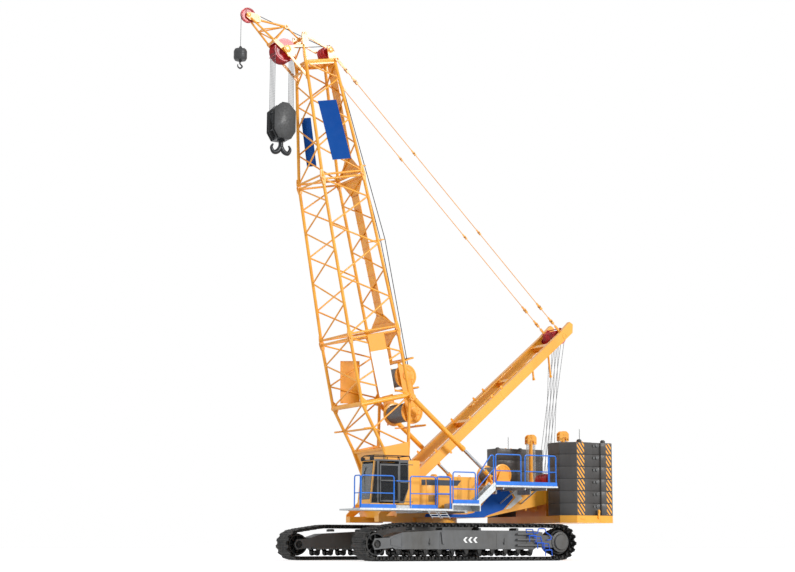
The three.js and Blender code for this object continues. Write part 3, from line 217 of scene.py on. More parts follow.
# Every finish starts from its real material. colour and worn are mixed by soft clouds of grime, and patches
# sets how far apart those lie in metres. streaks makes them run down. grain is the size of the surface's own
# relief in metres, and relief its height as a share of that. slot names the slot meant for the pieces that
# wear it, which makePiece looks up but does not give them.
finishes = {
    "glossYellowPaint": dict(  # two-pack machine enamel over blasted steel, clean with a faint bloom of dust
        colour="#fdb336", worn="#f0a026", rough=(0.30, 0.46), patches=2.4, streaks=4, grain=0.05,
        relief=0.004, coat=0.35, slot="yellow_paint"),
    "boomTubePaint": dict(  # the same enamel sprayed on round drawn tube, duller where the spray overlaps
        colour="#fbae30", worn="#e6961c", rough=(0.34, 0.5), patches=0.7, grain=0.03, relief=0.005,
        coat=0.25, slot="yellow_paint"),
    "satinGreyPaint": dict(  # satin chassis enamel on fabricated plate
        colour="#5c5d5e", worn="#4a4844", rough=(0.40, 0.62), metallic=0.1, patches=1.1, streaks=3,
        grain=0.02, relief=0.01, coat=0.1, slot="frame_grey"),
    "ballastPaint": dict(  # thick dark enamel rolled on cast ballast slabs, slightly pitted
        colour="#4a4948", worn="#2f2a27", rough=(0.45, 0.65), patches=1.6, streaks=6, grain=0.012,
        relief=0.03, coat=0.05, slot="frame_grey"),
    "trackCastSteel": dict(  # cast manganese steel, painted black, rubbed and dusty
        colour="#1c1d1e", worn="#46433f", rough=(0.45, 0.75), metallic=0.35, patches=0.22, grain=0.008,
        relief=0.05, slot="track_steel"),
    "rollerSteel": dict(  # forged rollers, oily black with a polished tread
        colour="#202122", worn="#3c3a37", rough=(0.35, 0.6), metallic=0.6, patches=0.15, grain=0.006,
        relief=0.03, slot="track_steel"),
    "cabGreyPaint": dict(  # smooth dark satin paint on pressed cab panels
        colour="#545556", worn="#424242", rough=(0.32, 0.45), metallic=0.1, patches=0.9, streaks=2,
        grain=0.02, relief=0.004, coat=0.2, slot="cab_dark"),
    "railBluePaint": dict(  # bright gloss enamel on bent tube
        colour="#0074de", worn="#0064c6", rough=(0.26, 0.4), patches=0.5, grain=0.02, relief=0.005,
        coat=0.3, slot="rail_blue"),
    "stepBluePaint": dict(  # deeper blue enamel on step iron
        colour="#0a5cd0", worn="#1a4cc0", rough=(0.3, 0.45), patches=0.3, grain=0.02, relief=0.006,
        coat=0.2, slot="rail_blue"),
    "boardBlueEnamelDarkenedForLight": dict(  # stoved blue enamel of the blank name boards, matt from the weather, drawn darker than the stripe's blue as painted shade against their sheen in the light
        colour="#00428e", worn="#034894", rough=(0.6, 0.7), patches=1.5, streaks=2, grain=0.05,
        relief=0.002, specular=0.12, slot="rail_blue"),
    "stripeBlueFilmLightenedForShade": dict(  # cast vinyl film laid on the paint, drawn lighter than the boards' blue as painted light against the walkway's shade on the stripe
        colour="#0058ba", worn="#0858b2", rough=(0.5, 0.62), patches=1.5, streaks=2, grain=0.05,
        relief=0.002, coat=0.03, specular=0.2, slot="rail_blue"),
    "decalWhiteFilm": dict(  # white vinyl film
        colour="#f2f2f0", worn="#dad9d4", rough=(0.3, 0.4), patches=0.8, streaks=2, grain=0.05,
        relief=0.002, coat=0.3, slot="walkway_grey"),
    "decalNavyFilm": dict(  # dark blue film behind blank name bands
        colour="#1f2a38", worn="#1a2330", rough=(0.28, 0.38), patches=0.9, streaks=2, grain=0.05,
        relief=0.002, coat=0.3, slot="cab_dark"),
    "signYellowFilm": dict(  # deeper yellow film of the safety panels, left blank
        colour="#f0a010", worn="#d98c0c", rough=(0.3, 0.42), patches=0.9, streaks=2, grain=0.05,
        relief=0.002, coat=0.2, slot="yellow_paint"),
    "sheaveRedPaint": dict(  # red primer-enamel on sheave rims and guards
        colour="#c4141e", worn="#6e1a18", rough=(0.35, 0.55), patches=0.3, grain=0.02, relief=0.008,
        coat=0.15, slot="sheave_red"),
    "hookGreyPaint": dict(  # matt dark enamel on forged and flame-cut steel
        colour="#3d3e3f", worn="#2c2b2a", rough=(0.42, 0.62), metallic=0.2, patches=0.4, streaks=2,
        grain=0.01, relief=0.03, coat=0.05, slot="hook_grey"),
    "galvanisedSteel": dict(  # hot-dip zinc with dull spangle
        colour="#c2c5c6", worn="#9fa3a5", rough=(0.38, 0.6), metallic=0.55, patches=0.06, grain=0.01,
        relief=0.01, slot="walkway_grey"),
    "brightRodSteel": dict(  # ground and hard-chromed rod
        colour="#c9cbce", worn="#b4b7ba", rough=(0.12, 0.2), metallic=1.0, patches=0.4, grain=0.004,
        relief=0.002, slot="bare_steel"),
    "blackRubber": dict(  # moulded EPDM seals and mats
        colour="#16171a", worn="#232327", rough=(0.62, 0.8), patches=0.1, grain=0.003, relief=0.03,
        slot="track_steel"),
    "mouldedPlastic": dict(  # grained ABS of consoles and lamps
        colour="#1d1e20", worn="#292a2c", rough=(0.48, 0.62), patches=0.2, grain=0.002, relief=0.06,
        slot="seat_black"),
    "rubbedBlackSteel": dict(  # dull black powder coat on rails and mirrors
        colour="#16191d", worn="#25282c", rough=(0.38, 0.52), metallic=0.2, patches=0.2, grain=0.004,
        relief=0.01, coat=0.1, slot="track_steel"),
    "enginePaint": dict(  # heat-dulled grey engine enamel
        colour="#7d7f80", worn="#5c5852", rough=(0.5, 0.7), metallic=0.3, patches=0.3, streaks=2,
        grain=0.01, relief=0.03, slot="frame_grey"),
}


usualLook = dict(metallic=0.0, streaks=1, coat=0.0, specular=0.4)


def startMaterial(name, sockets):
    # a new material: its node tree, its shader with even values set, and its place coordinates
    material = bpy.data.materials.new(name)
    material.use_nodes = True
    tree = material.node_tree
    shader = tree.nodes["Principled BSDF"]
    for key, value in sockets.items():
        shader.inputs[key].default_value = value
    return material, tree, shader, addNode(tree, "ShaderNodeTexCoord").outputs["Object"]


def tintBetween(tree, shader, share, dark, light):
    tint = addNode(tree, "ShaderNodeValToRGB", {}, {"Fac": share})
    for stop, colour in zip(tint.color_ramp.elements, (dark, light)):
        stop.color = linear(colour)
    tree.links.new(tint.outputs["Color"], shader.inputs["Base Color"])


def raiseSurface(tree, shader, height, strength, distance):
    bump = addNode(tree, "ShaderNodeBump", {"Strength": strength, "Distance": distance}, {"Height": height})
    tree.links.new(bump.outputs["Normal"], shader.inputs["Normal"])


def calculate(tree, operation, first, second):
    # a maths node on two sockets, or on a socket and a number
    node = addNode(tree, "ShaderNodeMath", {"operation": operation}, {0: first})
    if isinstance(second, (int, float)):
        node.inputs[1].default_value = second
    else:
        tree.links.new(second, node.inputs[1])
    return node.outputs["Value"]


def makeFinish(name, look):
    material, tree, shader, place = startMaterial(name, {"Metallic": look["metallic"],
        "Coat Weight": look["coat"], "Specular IOR Level": look["specular"], "Coat Roughness": 0.15})
    stretch = addNode(tree, "ShaderNodeMapping", {"Scale": (1, 1, 1 / look["streaks"])}, {"Vector": place})
    clouds = addNode(tree, "ShaderNodeTexNoise", {"Scale": 1 / look["patches"], "Detail": 6,
        "Roughness": 0.62}, {"Vector": stretch.outputs["Vector"]})
    share = addNode(tree, "ShaderNodeMapRange", {"From Min": 0.42, "From Max": 0.72},
        {"Value": clouds.outputs["Fac"]})
    shade = addNode(tree, "ShaderNodeMix", {"data_type": "RGBA"}, {"Factor": share.outputs["Result"]})
    colourA, colourB = [s for s in shade.inputs if s.type == "RGBA"]
    colourA.default_value, colourB.default_value = linear(look["colour"]), linear(look["worn"])
    tree.links.new([s for s in shade.outputs if s.type == "RGBA"][0], shader.inputs["Base Color"])
    sheen = addNode(tree, "ShaderNodeTexNoise", {"Scale": 5 / look["patches"], "Detail": 3},
        {"Vector": place})
    dull = addNode(tree, "ShaderNodeMapRange", {"From Min": 0.3, "From Max": 0.7, "To Min": look["rough"][0],
        "To Max": look["rough"][1]}, {"Value": sheen.outputs["Fac"]})
    tree.links.new(dull.outputs["Result"], shader.inputs["Roughness"])
    grain = addNode(tree, "ShaderNodeTexNoise", {"Scale": 1 / look["grain"], "Detail": 2}, {"Vector": place})
    raiseSurface(tree, shader, grain.outputs["Fac"], 0.6, look["grain"] * look["relief"])
    return material


def makeCabGlass(name, alpha, dark, light):
    # laminated cab glass: smooth, tinted in soft clouds, with some of the inside showing
    material, tree, shader, place = startMaterial(name, {"IOR": 1.52, "Roughness": 0.03, "Alpha": alpha,
        "Specular IOR Level": 0.25})
    haze = addNode(tree, "ShaderNodeTexNoise", {"Scale": 1.3, "Detail": 3}, {"Vector": place})
    tintBetween(tree, shader, haze.outputs["Fac"], dark, light)
    return material


def makeWireRope(name, dark, light):
    # wire rope: strands wound round it, drawn at a 90 mm lay so that they still show
    material, tree, shader, place = startMaterial(name, {"Metallic": 0.7, "Roughness": 0.5})
    strands = addNode(tree, "ShaderNodeTexWave", {"wave_type": "BANDS", "bands_direction": "DIAGONAL",
        "Scale": 6.0, "Distortion": 0.4, "Detail": 1}, {"Vector": place})
    tintBetween(tree, shader, strands.outputs["Fac"], dark, light)
    raiseSurface(tree, shader, strands.outputs["Fac"], 0.5, 0.004)
    return material


def makeSeatCloth(name):
    # flat-woven polyester, warp and weft drawn at 6 mm so that the weave shows
    material, tree, shader, place = startMaterial(name, {"Roughness": 0.9, "Sheen Weight": 0.3})
    threads = [addNode(tree, "ShaderNodeTexWave", {"bands_direction": axis, "Scale": 52}, {"Vector": place})
        for axis in ("X", "Y")]
    weave = calculate(tree, "MULTIPLY", threads[0].outputs["Fac"], threads[1].outputs["Fac"])
    tintBetween(tree, shader, weave, "#141518", "#34363b")
    raiseSurface(tree, shader, weave, 0.5, 0.002)
    return material


def makeHazardFilm(name):
    # reflective film of the counterweight edges: yellow and dark diagonal bars, 160 mm from bar to bar
    material, tree, shader, _ = startMaterial(name, {"Roughness": 0.35, "Coat Weight": 0.2})
    along = addNode(tree, "ShaderNodeUVMap", {"uv_map": "stripe"}).outputs["UV"]
    split = addNode(tree, "ShaderNodeSeparateXYZ", {}, {"Vector": along})
    rise = calculate(tree, "ADD", split.outputs["X"], split.outputs["Y"])
    part = calculate(tree, "FRACT", calculate(tree, "DIVIDE", rise, 0.16), 0.0)
    tintBetween(tree, shader, calculate(tree, "GREATER_THAN", part, 0.5), "#f6a81e", "#20243a")
    return material


paint = {name: makeFinish(name, {**usualLook, **look}) for name, look in finishes.items()}
slotOf = {name: look["slot"] for name, look in finishes.items()}
for name, slotName, make, settings in (
        ("tintedCabGlass", "cab_glass", makeCabGlass, (0.8, "#1a1b1d", "#2e3032")),
        ("clearScreenGlass", "cab_glass", makeCabGlass, (0.45, "#8d9294", "#a9adae")),
        ("greasedWireRope", "bare_steel", makeWireRope, ("#4a4c4f", "#808386")),
        ("blackWireRope", "track_steel", makeWireRope, ("#0e0f10", "#2c2e30")),
        ("wovenSeatCloth", "seat_black", makeSeatCloth, ()),
        ("hazardStripeFilm", "yellow_paint", makeHazardFilm, ())):
    paint[name], slotOf[name] = make(name, *settings), slotName
print("finishes made:", len(paint))

trackShape = Settings(front=4.692, rear=-4.692, idler=0.617, sprocket=0.703, levelFrom=2.97, pitch=0.292,
    gauge=6.444, width=1.106, plateThickness=0.05, bossRows=(-0.062, 0.062), bossesAcross=9, bossSize=0.058,
    bossHeight=0.011, toothWidth=0.1, hornHeight=0.1)


def trackLoop(depth):
    t = trackShape
    idlerX, sprocketX = t.front - t.idler, t.rear + t.sprocket
    rise = math.degrees(math.atan2(2 * (t.sprocket - t.idler), idlerX - t.levelFrom))
    points = around(41, idlerX, t.idler, t.idler - depth, -90, 90 - rise)
    points.append((t.levelFrom, 2 * t.sprocket - depth))
    points += around(41, sprocketX, t.sprocket, t.sprocket - depth, 90, 270)
    return points + [points[0]]


def loopPlaces(depth):
    # a turned place for each shoe, round the loop, with Z pointing out of the track
    line = trackLoop(depth)
    lengths = [math.dist(a, b) for a, b in zip(line, line[1:])]
    total = sum(lengths)
    count = round(total / trackShape.pitch)

    def at(s):
        s %= total
        for length, a, b in zip(lengths, line, line[1:]):
            if s <= length:
                return Vector((mix(a[0], b[0], s / length), 0, mix(a[1], b[1], s / length)))
            s -= length
        return Vector((line[0][0], 0, line[0][1]))

    places = []
    for i in range(count):
        a, b = at((i - 0.5) * total / count), at((i + 0.5) * total / count)
        along = (b - a).normalized()
        outward = Vector((0, 1, 0)).cross(along)
        turn = Matrix((along, outward.cross(along), outward)).transposed().to_4x4()
        places.append(Matrix.Translation((a + b) / 2) @ turn)
    return places


def shoeShape():
    t = trackShape
    bm = bmesh.new()
    half, reach = t.pitch / 2 - 0.012, t.width / 2
    under, top = -t.plateThickness, -t.bossHeight
    outline = [(-half, -reach + 0.15), (-t.toothWidth / 2 - 0.03, -reach + 0.1), (-t.toothWidth / 2, -reach),
        (t.toothWidth / 2, -reach), (t.toothWidth / 2 + 0.03, -reach + 0.1), (half, -reach + 0.15)]
    outline += [(-x, -y) for x, y in outline]
    addPlate(bm, outline, under, top, "Z")
    bevelAll(bm, 0.007)
    for x in t.bossRows:
        for i in range(t.bossesAcross):
            y = mix(-0.4, 0.4, i / (t.bossesAcross - 1))
            size = t.bossSize / 2
            bmesh.ops.create_cone(bm, cap_ends=True, segments=4, radius1=size * 1.25, radius2=size * 0.95,
                depth=t.bossHeight + 0.002,
                matrix=Matrix.Translation((x, y, top / 2 - 0.001)) @ Matrix.Rotation(math.pi / 4, 4, "Z"))
    for side in (-1, 1):
        addBox(bm, (-half * 0.82, side * 0.2 - 0.075, under - 0.1), (half * 0.82, side * 0.2 + 0.075,
            under + 0.002))
        addPlate(bm, [(-0.07, under + 0.001), (0.07, under + 0.001), (0.035, under - t.hornHeight),
            (-0.035, under - t.hornHeight)], side * 0.335 - 0.03, side * 0.335 + 0.03)
        addTubeY(bm, half + 0.012, side * 0.42, side * 0.1, under - 0.03, 0.034, 8)
        addTubeZ(bm, -0.085, side * 0.43, under - 0.02, under + 0.003, 0.02, 6)
        addTubeZ(bm, 0.085, side * 0.43, under - 0.02, under + 0.003, 0.02, 6)
    return bm


shoe = shoeShape()
for side, label in sides:
    bm = bmesh.new()
    for place in loopPlaces(0.0):
        addCopy(bm, shoe, Matrix.Translation((0, side * trackShape.gauge / 2, 0)) @ place)
    # the chord between shoe joints cuts inside the round ends, so shoes sit just inside the loop's outer line
    makePiece(f"track_shoes_{label}", bm, "trackCastSteel", "undercarriage", f"track_{label}", smooth=30)
shoe.free()
print("track shoes made")

wheels = Settings(idlerX=4.075, idlerZ=0.617, idlerR=0.443, sprocketX=-3.989, sprocketZ=0.703,
    sprocketR=0.528, rollerR=0.117, rollerZ=0.2885, firstRoller=-2.66, lastRoller=3.2, rollerCount=11,
    half=0.28)


def wheelDisc(bm, x, y, z, radius, half, spokes):
    # a cast wheel: rim, thin web and hub, with ribs between hub and rim
    rim, web, hub = radius * 0.8, half * 0.22, radius * 0.34
    addTurned(bm, (x, y, z), [(-half, rim), (-half, radius * 0.93), (-half * 0.5, radius * 0.94),
        (-half * 0.42, radius), (half * 0.42, radius), (half * 0.5, radius * 0.94), (half, radius * 0.93),
        (half, rim), (web, rim * 0.98), (web, hub * 1.05), (half * 1.15, hub), (half * 1.15, hub * 0.5),
        (half * 1.3, hub * 0.45), (half * 1.3, 0), (-half * 1.3, 0), (-half * 1.3, hub * 0.45),
        (-half * 1.15, hub * 0.5), (-half * 1.15, hub), (-web, hub * 1.05), (-web, rim * 0.98),
        (-half, rim)], 40)
    for i in range(spokes):
        angle = math.tau * i / spokes
        low, high = hub * 0.9, rim * 1.01
        at = [Vector((x + r * math.cos(angle), y, z + r * math.sin(angle))) for r in (low, high)]
        turn = Matrix.Rotation(-angle, 4, "Y")
        place = Matrix.Translation((at[0] + at[1]) / 2) @ turn @ Matrix.Diagonal((high - low, half * 1.5,
            0.035, 1))
        bmesh.ops.create_cube(bm, size=1, matrix=place)


for side, label in sides:
    w, y = wheels, side * trackShape.gauge / 2
    bm = bmesh.new()
    wheelDisc(bm, w.idlerX, y, w.idlerZ, w.idlerR, w.half, 8)
    makePiece(f"idler_wheel_{label}", bm, "rollerSteel", "undercarriage", f"idler_{label}")
    bm = bmesh.new()
    wheelDisc(bm, w.sprocketX, y, w.sprocketZ, w.sprocketR * 0.94, w.half, 6)
    for x, z in around(14, w.sprocketX, w.sprocketZ, w.sprocketR * 0.93):
        addTubeY(bm, x, y - 0.09, y + 0.09, z, 0.034, 10)
    makePiece(f"sprocket_wheel_{label}", bm, "rollerSteel", "undercarriage", f"sprocket_{label}")
    bm = bmesh.new()
    for i in range(w.rollerCount):
        x = mix(w.firstRoller, w.lastRoller, i / (w.rollerCount - 1))
        r = w.rollerR
        addTurned(bm, (x, y, w.rollerZ), [(-0.28, 0), (-0.28, r * 0.6), (-0.27, r * 0.99), (-0.235, r),
            (-0.225, r * 0.86), (-0.08, r * 0.84), (-0.07, r * 0.55), (0.07, r * 0.55), (0.08, r * 0.84),
            (0.225, r * 0.86), (0.235, r), (0.27, r * 0.99), (0.28, r * 0.6), (0.28, 0)], 24)
        for edge in (-1, 1):
            # the bracket that bolts each end of the roller's shaft under the frame
            out = y + edge * 0.32
            addPlate(bm, [(x - 0.10, 0.4285), (x - 0.055, 0.265), (x + 0.055, 0.265), (x + 0.10, 0.4285)],
                out - 0.03, out + 0.03)
            addTubeY(bm, x, out, out + edge * 0.045, w.rollerZ, 0.034, 10)
            for dx in (-0.085, 0.085):
                addTubeZ(bm, x + dx, out + edge * 0.045, 0.40, 0.4285, 0.017, 6)
    makePiece(f"track_rollers_{label}", bm, "rollerSteel", "undercarriage", f"lower_rollers_{label}")
print("wheels and rollers made")

frameSide = Settings(out=3.602, seams=(3.05, 1.44, -1.07), bottom=0.432, top=1.13, hub=(-3.989, 0.703),
    hubR=0.3, chevronX=(0.42, 0.2, -0.02), chevronZ=0.775, chevronH=0.105, stepAcross=(3.604, 3.728),
    steps=((-2.78, -2.47, 0.94), (-3.15, -2.84, 0.67), (-3.51, -3.21, 0.40)), stepRise=0.24, stepDrop=0.22,
    stepLean=0.06)


def frameDetails(side, label):
    f, out = frameSide, side * frameSide.out
    lay = lambda a, b: (out + side * a, out + side * b)
    bm = bmesh.new()
    near, far = lay(0.0005, 0.007)
    for x in f.seams:
        addBox(bm, (x - 0.008, near, f.bottom + 0.05), (x + 0.008, far, 1.03))
    # flange along the bottom edge of the box beam
    near, far = lay(0.0005, 0.022)
    addBox(bm, (-2.7, near, f.bottom + 0.002), (3.25, far, f.bottom + 0.032))
    # jacking bracket and two lifting eyes
    addPlate(bm, [(1.22, 1.06), (1.40, 1.06), (1.34, 0.62), (1.24, 0.62)], *lay(0.0005, 0.05))
    for x in (1.86, -1.42):
        addTubeY(bm, x, out, out + side * 0.05, 0.66, 0.055, 14)
        addTubeY(bm, x, out + side * 0.03, out + side * 0.07, 0.66, 0.026, 10)
        eye = [(x - 0.02, 0.66), (x + 0.02, 0.66), (x + 0.012, 0.84), (x - 0.012, 0.84)]
        addPlate(bm, eye, *lay(0.0005, 0.03))
    bolts = [(x, z) for x in (3.2, 1.9) for z in (0.55, 0.72, 0.89)]
    for x, z in bolts + [(-2.55, 0.98), (-2.9, 0.98)]:
        addTubeY(bm, x, out, out + side * 0.012, z, 0.014, 6)
    # the hydraulic tensioner's cover at the front and return rollers on the top
    addPlate(bm, [(3.10, 0.50), (3.52, 0.58), (3.52, 0.80), (3.10, 0.98)], *lay(0.0005, 0.02))
    for x in (-2.1, -0.4, 1.2, 2.5):
        y = side * trackShape.gauge / 2
        addTubeY(bm, x, y - 0.2, y + 0.2, 1.182, 0.05, 16)
        addBox(bm, (x - 0.05, y - 0.25, 1.1305), (x + 0.05, y - 0.21, 1.22))
        addBox(bm, (x - 0.05, y + 0.21, 1.1305), (x + 0.05, y + 0.25, 1.22))
    makePiece(f"frame_fittings_{label}", bm, "satinGreyPaint", "undercarriage")
    # final drive: the gear case stands out of the frame's rear end
    bm = bmesh.new()
    x, z = f.hub
    start = out + side * 0.0005
    addTurned(bm, (x, start, z), [(0, 0), (0, 0.385), (side * 0.035, 0.385), (side * 0.045, 0.31),
        (side * 0.085, f.hubR), (side * 0.115, f.hubR - 0.02), (side * 0.12, 0.0)], 48)
    for px, pz in around(20, x, z, 0.345):
        addTubeY(bm, px, start + side * 0.03, start + side * 0.055, pz, 0.016, 6)
    makePiece(f"final_drive_{label}", bm, "satinGreyPaint", "undercarriage")
    # three white chevrons
    bm = bmesh.new()
    for x in f.chevronX:
        z, h = f.chevronZ, f.chevronH
        addPlate(bm, [(x, z), (x - 0.10, z + h), (x - 0.19, z + h), (x - 0.09, z), (x - 0.19, z - h),
            (x - 0.10, z - h)], *lay(0.001, 0.004))
    makePiece(f"frame_chevrons_{label}", bm, "decalWhiteFilm", "undercarriage")
    # three small staggered steps of bent iron, down to the rear, with their grab loops
    bm = bmesh.new()
    inner, outer = f.stepAcross
    rise, drop, lean = f.stepRise, f.stepDrop, f.stepLean
    for x0, x1, z in f.steps:
        for y in (inner, outer):
            addTubeX(bm, x0, x1, side * y, z, 0.024, 8)
        for x in (x0, x1):
            addTube(bm, (x, side * inner, z - 0.01), (x + lean, side * inner, z + rise), 0.02, 8)
            addTube(bm, (x, side * outer, z + 0.01), (x - lean / 3, side * outer, z - drop), 0.02, 8)
        addTubeX(bm, x0 + lean, x1 + lean, side * inner, z + rise, 0.018, 8)
        addTubeX(bm, x0 + lean / 2, x1 + lean / 2, side * inner, z + rise / 2, 0.012, 8)
        for k in range(6):
            x = mix(x0, x1, k / 5)
            addBox(bm, (x - 0.012, side * inner, z + 0.004), (x + 0.012, side * outer, z + 0.018))
    grab = [(-2.72, 1.04), (-2.90, 1.04), (-2.93, 1.19), (-2.98, 1.215), (-3.20, 1.215), (-3.26, 1.18),
        (-3.29, 1.06), (-3.47, 0.97), (-3.55, 0.88), (-3.50, 0.80), (-3.34, 0.78)]
    addTubes(bm, [(x, side * 3.68, z) for x, z in grab], 0.02, 8)
    makePiece(f"track_steps_{label}", bm, "stepBluePaint", "undercarriage")


for side, label in sides:
    frameDetails(side, label)
dress("satinGreyPaint", "track_frame_left", "track_frame_right", "carbody")
print("undercarriage made")

# upper frame: colour bands and plates on its sides, drawn a few millimetres proud of the steel
frameMarks = Settings(side=1.5)


def addFilm(bm, outline, side, at, thick=0.003):
    addPlate(bm, outline, side * at, side * (at + thick))


stripe = [(0.86, 1.652), (0.80, 1.775), (-1.02, 1.775), (-1.35, 1.83), (-1.62, 2.00), (-2.14, 2.55),
    (-1.95, 2.845), (-2.93, 2.845), (-3.24, 2.47), (-2.75, 1.965), (-2.0, 1.735), (-1.86, 1.66),
    (-1.55, 1.652)]
chevron = [(-3.05, 2.845), (-3.36, 2.845), (-3.68, 2.44), (-3.12, 2.04), (-2.84, 1.985), (-3.36, 2.46)]
for side, label in sides:
    bm = bmesh.new()
    addFilm(bm, stripe, side, frameMarks.side + 0.001)
    # the stripe's blue is drawn lighter than the boards' as painted light, against the walkway's shade on the
    # frame side
    makePiece(f"frame_stripe_{label}", bm, "stripeBlueFilmLightenedForShade")
    bm = bmesh.new()
    addFilm(bm, chevron, side, frameMarks.side + 0.001)
    makePiece(f"frame_chevron_{label}", bm, "decalWhiteFilm")
    bm = bmesh.new()
    y = side * 1.501
    # doubler plates, lifting eye, pipe stubs and the weld lines of the side plate
    addFilm(bm, [(-0.72, 1.80), (-0.74, 2.60), (-0.79, 2.60), (-0.77, 1.80)], side, 1.501, 0.02)
    addFilm(bm, [(-4.78, 2.28), (-4.78, 2.88), (-4.86, 2.88), (-4.86, 2.28)], side, 1.501, 0.03)
    for x, z, r in ((-1.52, 2.28, 0.02), (-4.02, 2.52, 0.06), (-4.32, 2.55, 0.035), (-3.0, 2.20, 0.025)):
        addTubeY(bm, x, y, y + side * 0.03, z, r, 16)
    addTubeY(bm, -4.02, y, y + side * 0.07, 2.52, 0.032, 12)
    # hydraulic lines and brackets under the raised tail
    for k, z in enumerate((2.10, 2.03, 1.97)):
        points = [(-2.75, 1.55 - 0.09 * k, z - 0.16), (-3.3, 1.55 - 0.09 * k, z + 0.02),
            (-3.9, 1.50 - 0.09 * k, z + 0.09), (-4.6, 1.35, z + 0.1)]
        for a, b in zip(points, points[1:]):
            addTube(bm, (a[0], side * (a[1] - 0.2), a[2]), (b[0], side * (b[1] - 0.2), b[2]), 0.024, 8)
    for x in (-3.3, -3.9, -4.4):
        addBox(bm, (x - 0.03, min(side * 1.0, side * 1.42), 1.96), (x + 0.03, max(side * 1.0, side * 1.42),
            2.02))
    addTubeY(bm, -3.42, side * 1.25, side * 1.45, 2.05, 0.10, 16)
    makePiece(f"frame_side_parts_{label}", bm, "glossYellowPaint")
dress("glossYellowPaint", "slew_ring", "upper_frame", "housing_left", "engine_housing", "counterweight_tray")
dress("enginePaint", "engine_block")

# foot bracket bosses and deck fittings
bm = bmesh.new()
for side in (-1, 1):
    for y in (side * 1.2795, side * 1.3405):
        out = 1 if abs(y) > 1.3 else -1
        if out < 0:
            continue
        addTurned(bm, (foot.x - slewX, y, foot.z), [(0, 0), (0, 0.17), (side * 0.02, 0.165),
            (side * 0.024, 0.10), (side * 0.05, 0.09), (side * 0.05, 0)], 32)
    for x in (2.35, 2.55):
        addTubeY(bm, x, side * 1.501, side * 1.52, 1.95, 0.05, 16)
for x in (-0.6, 0.4):
    addTubeZ(bm, x, -0.9, 2.2805, 2.42, 0.11, 20)
    addTubeZ(bm, x, 0.9, 2.2805, 2.36, 0.09, 20)
for i in range(5):
    addBox(bm, (-1.1 + 0.42 * i, -0.55, 2.2805), (-0.82 + 0.42 * i, 0.55, 2.34 + 0.05 * (i % 2)))
bevelAll(bm, 0.004)
makePiece("deck_fittings", bm, "glossYellowPaint")
print("upper frame dressed")

# side housings: doors, panel joints, vents and a dark band
housingShape = Settings(outer=3.0, bottom=1.96, top=3.13, left=(-0.56, 1.96), right=(-4.0, 1.3),
    doors={"left": 1.4, "right": -0.7})


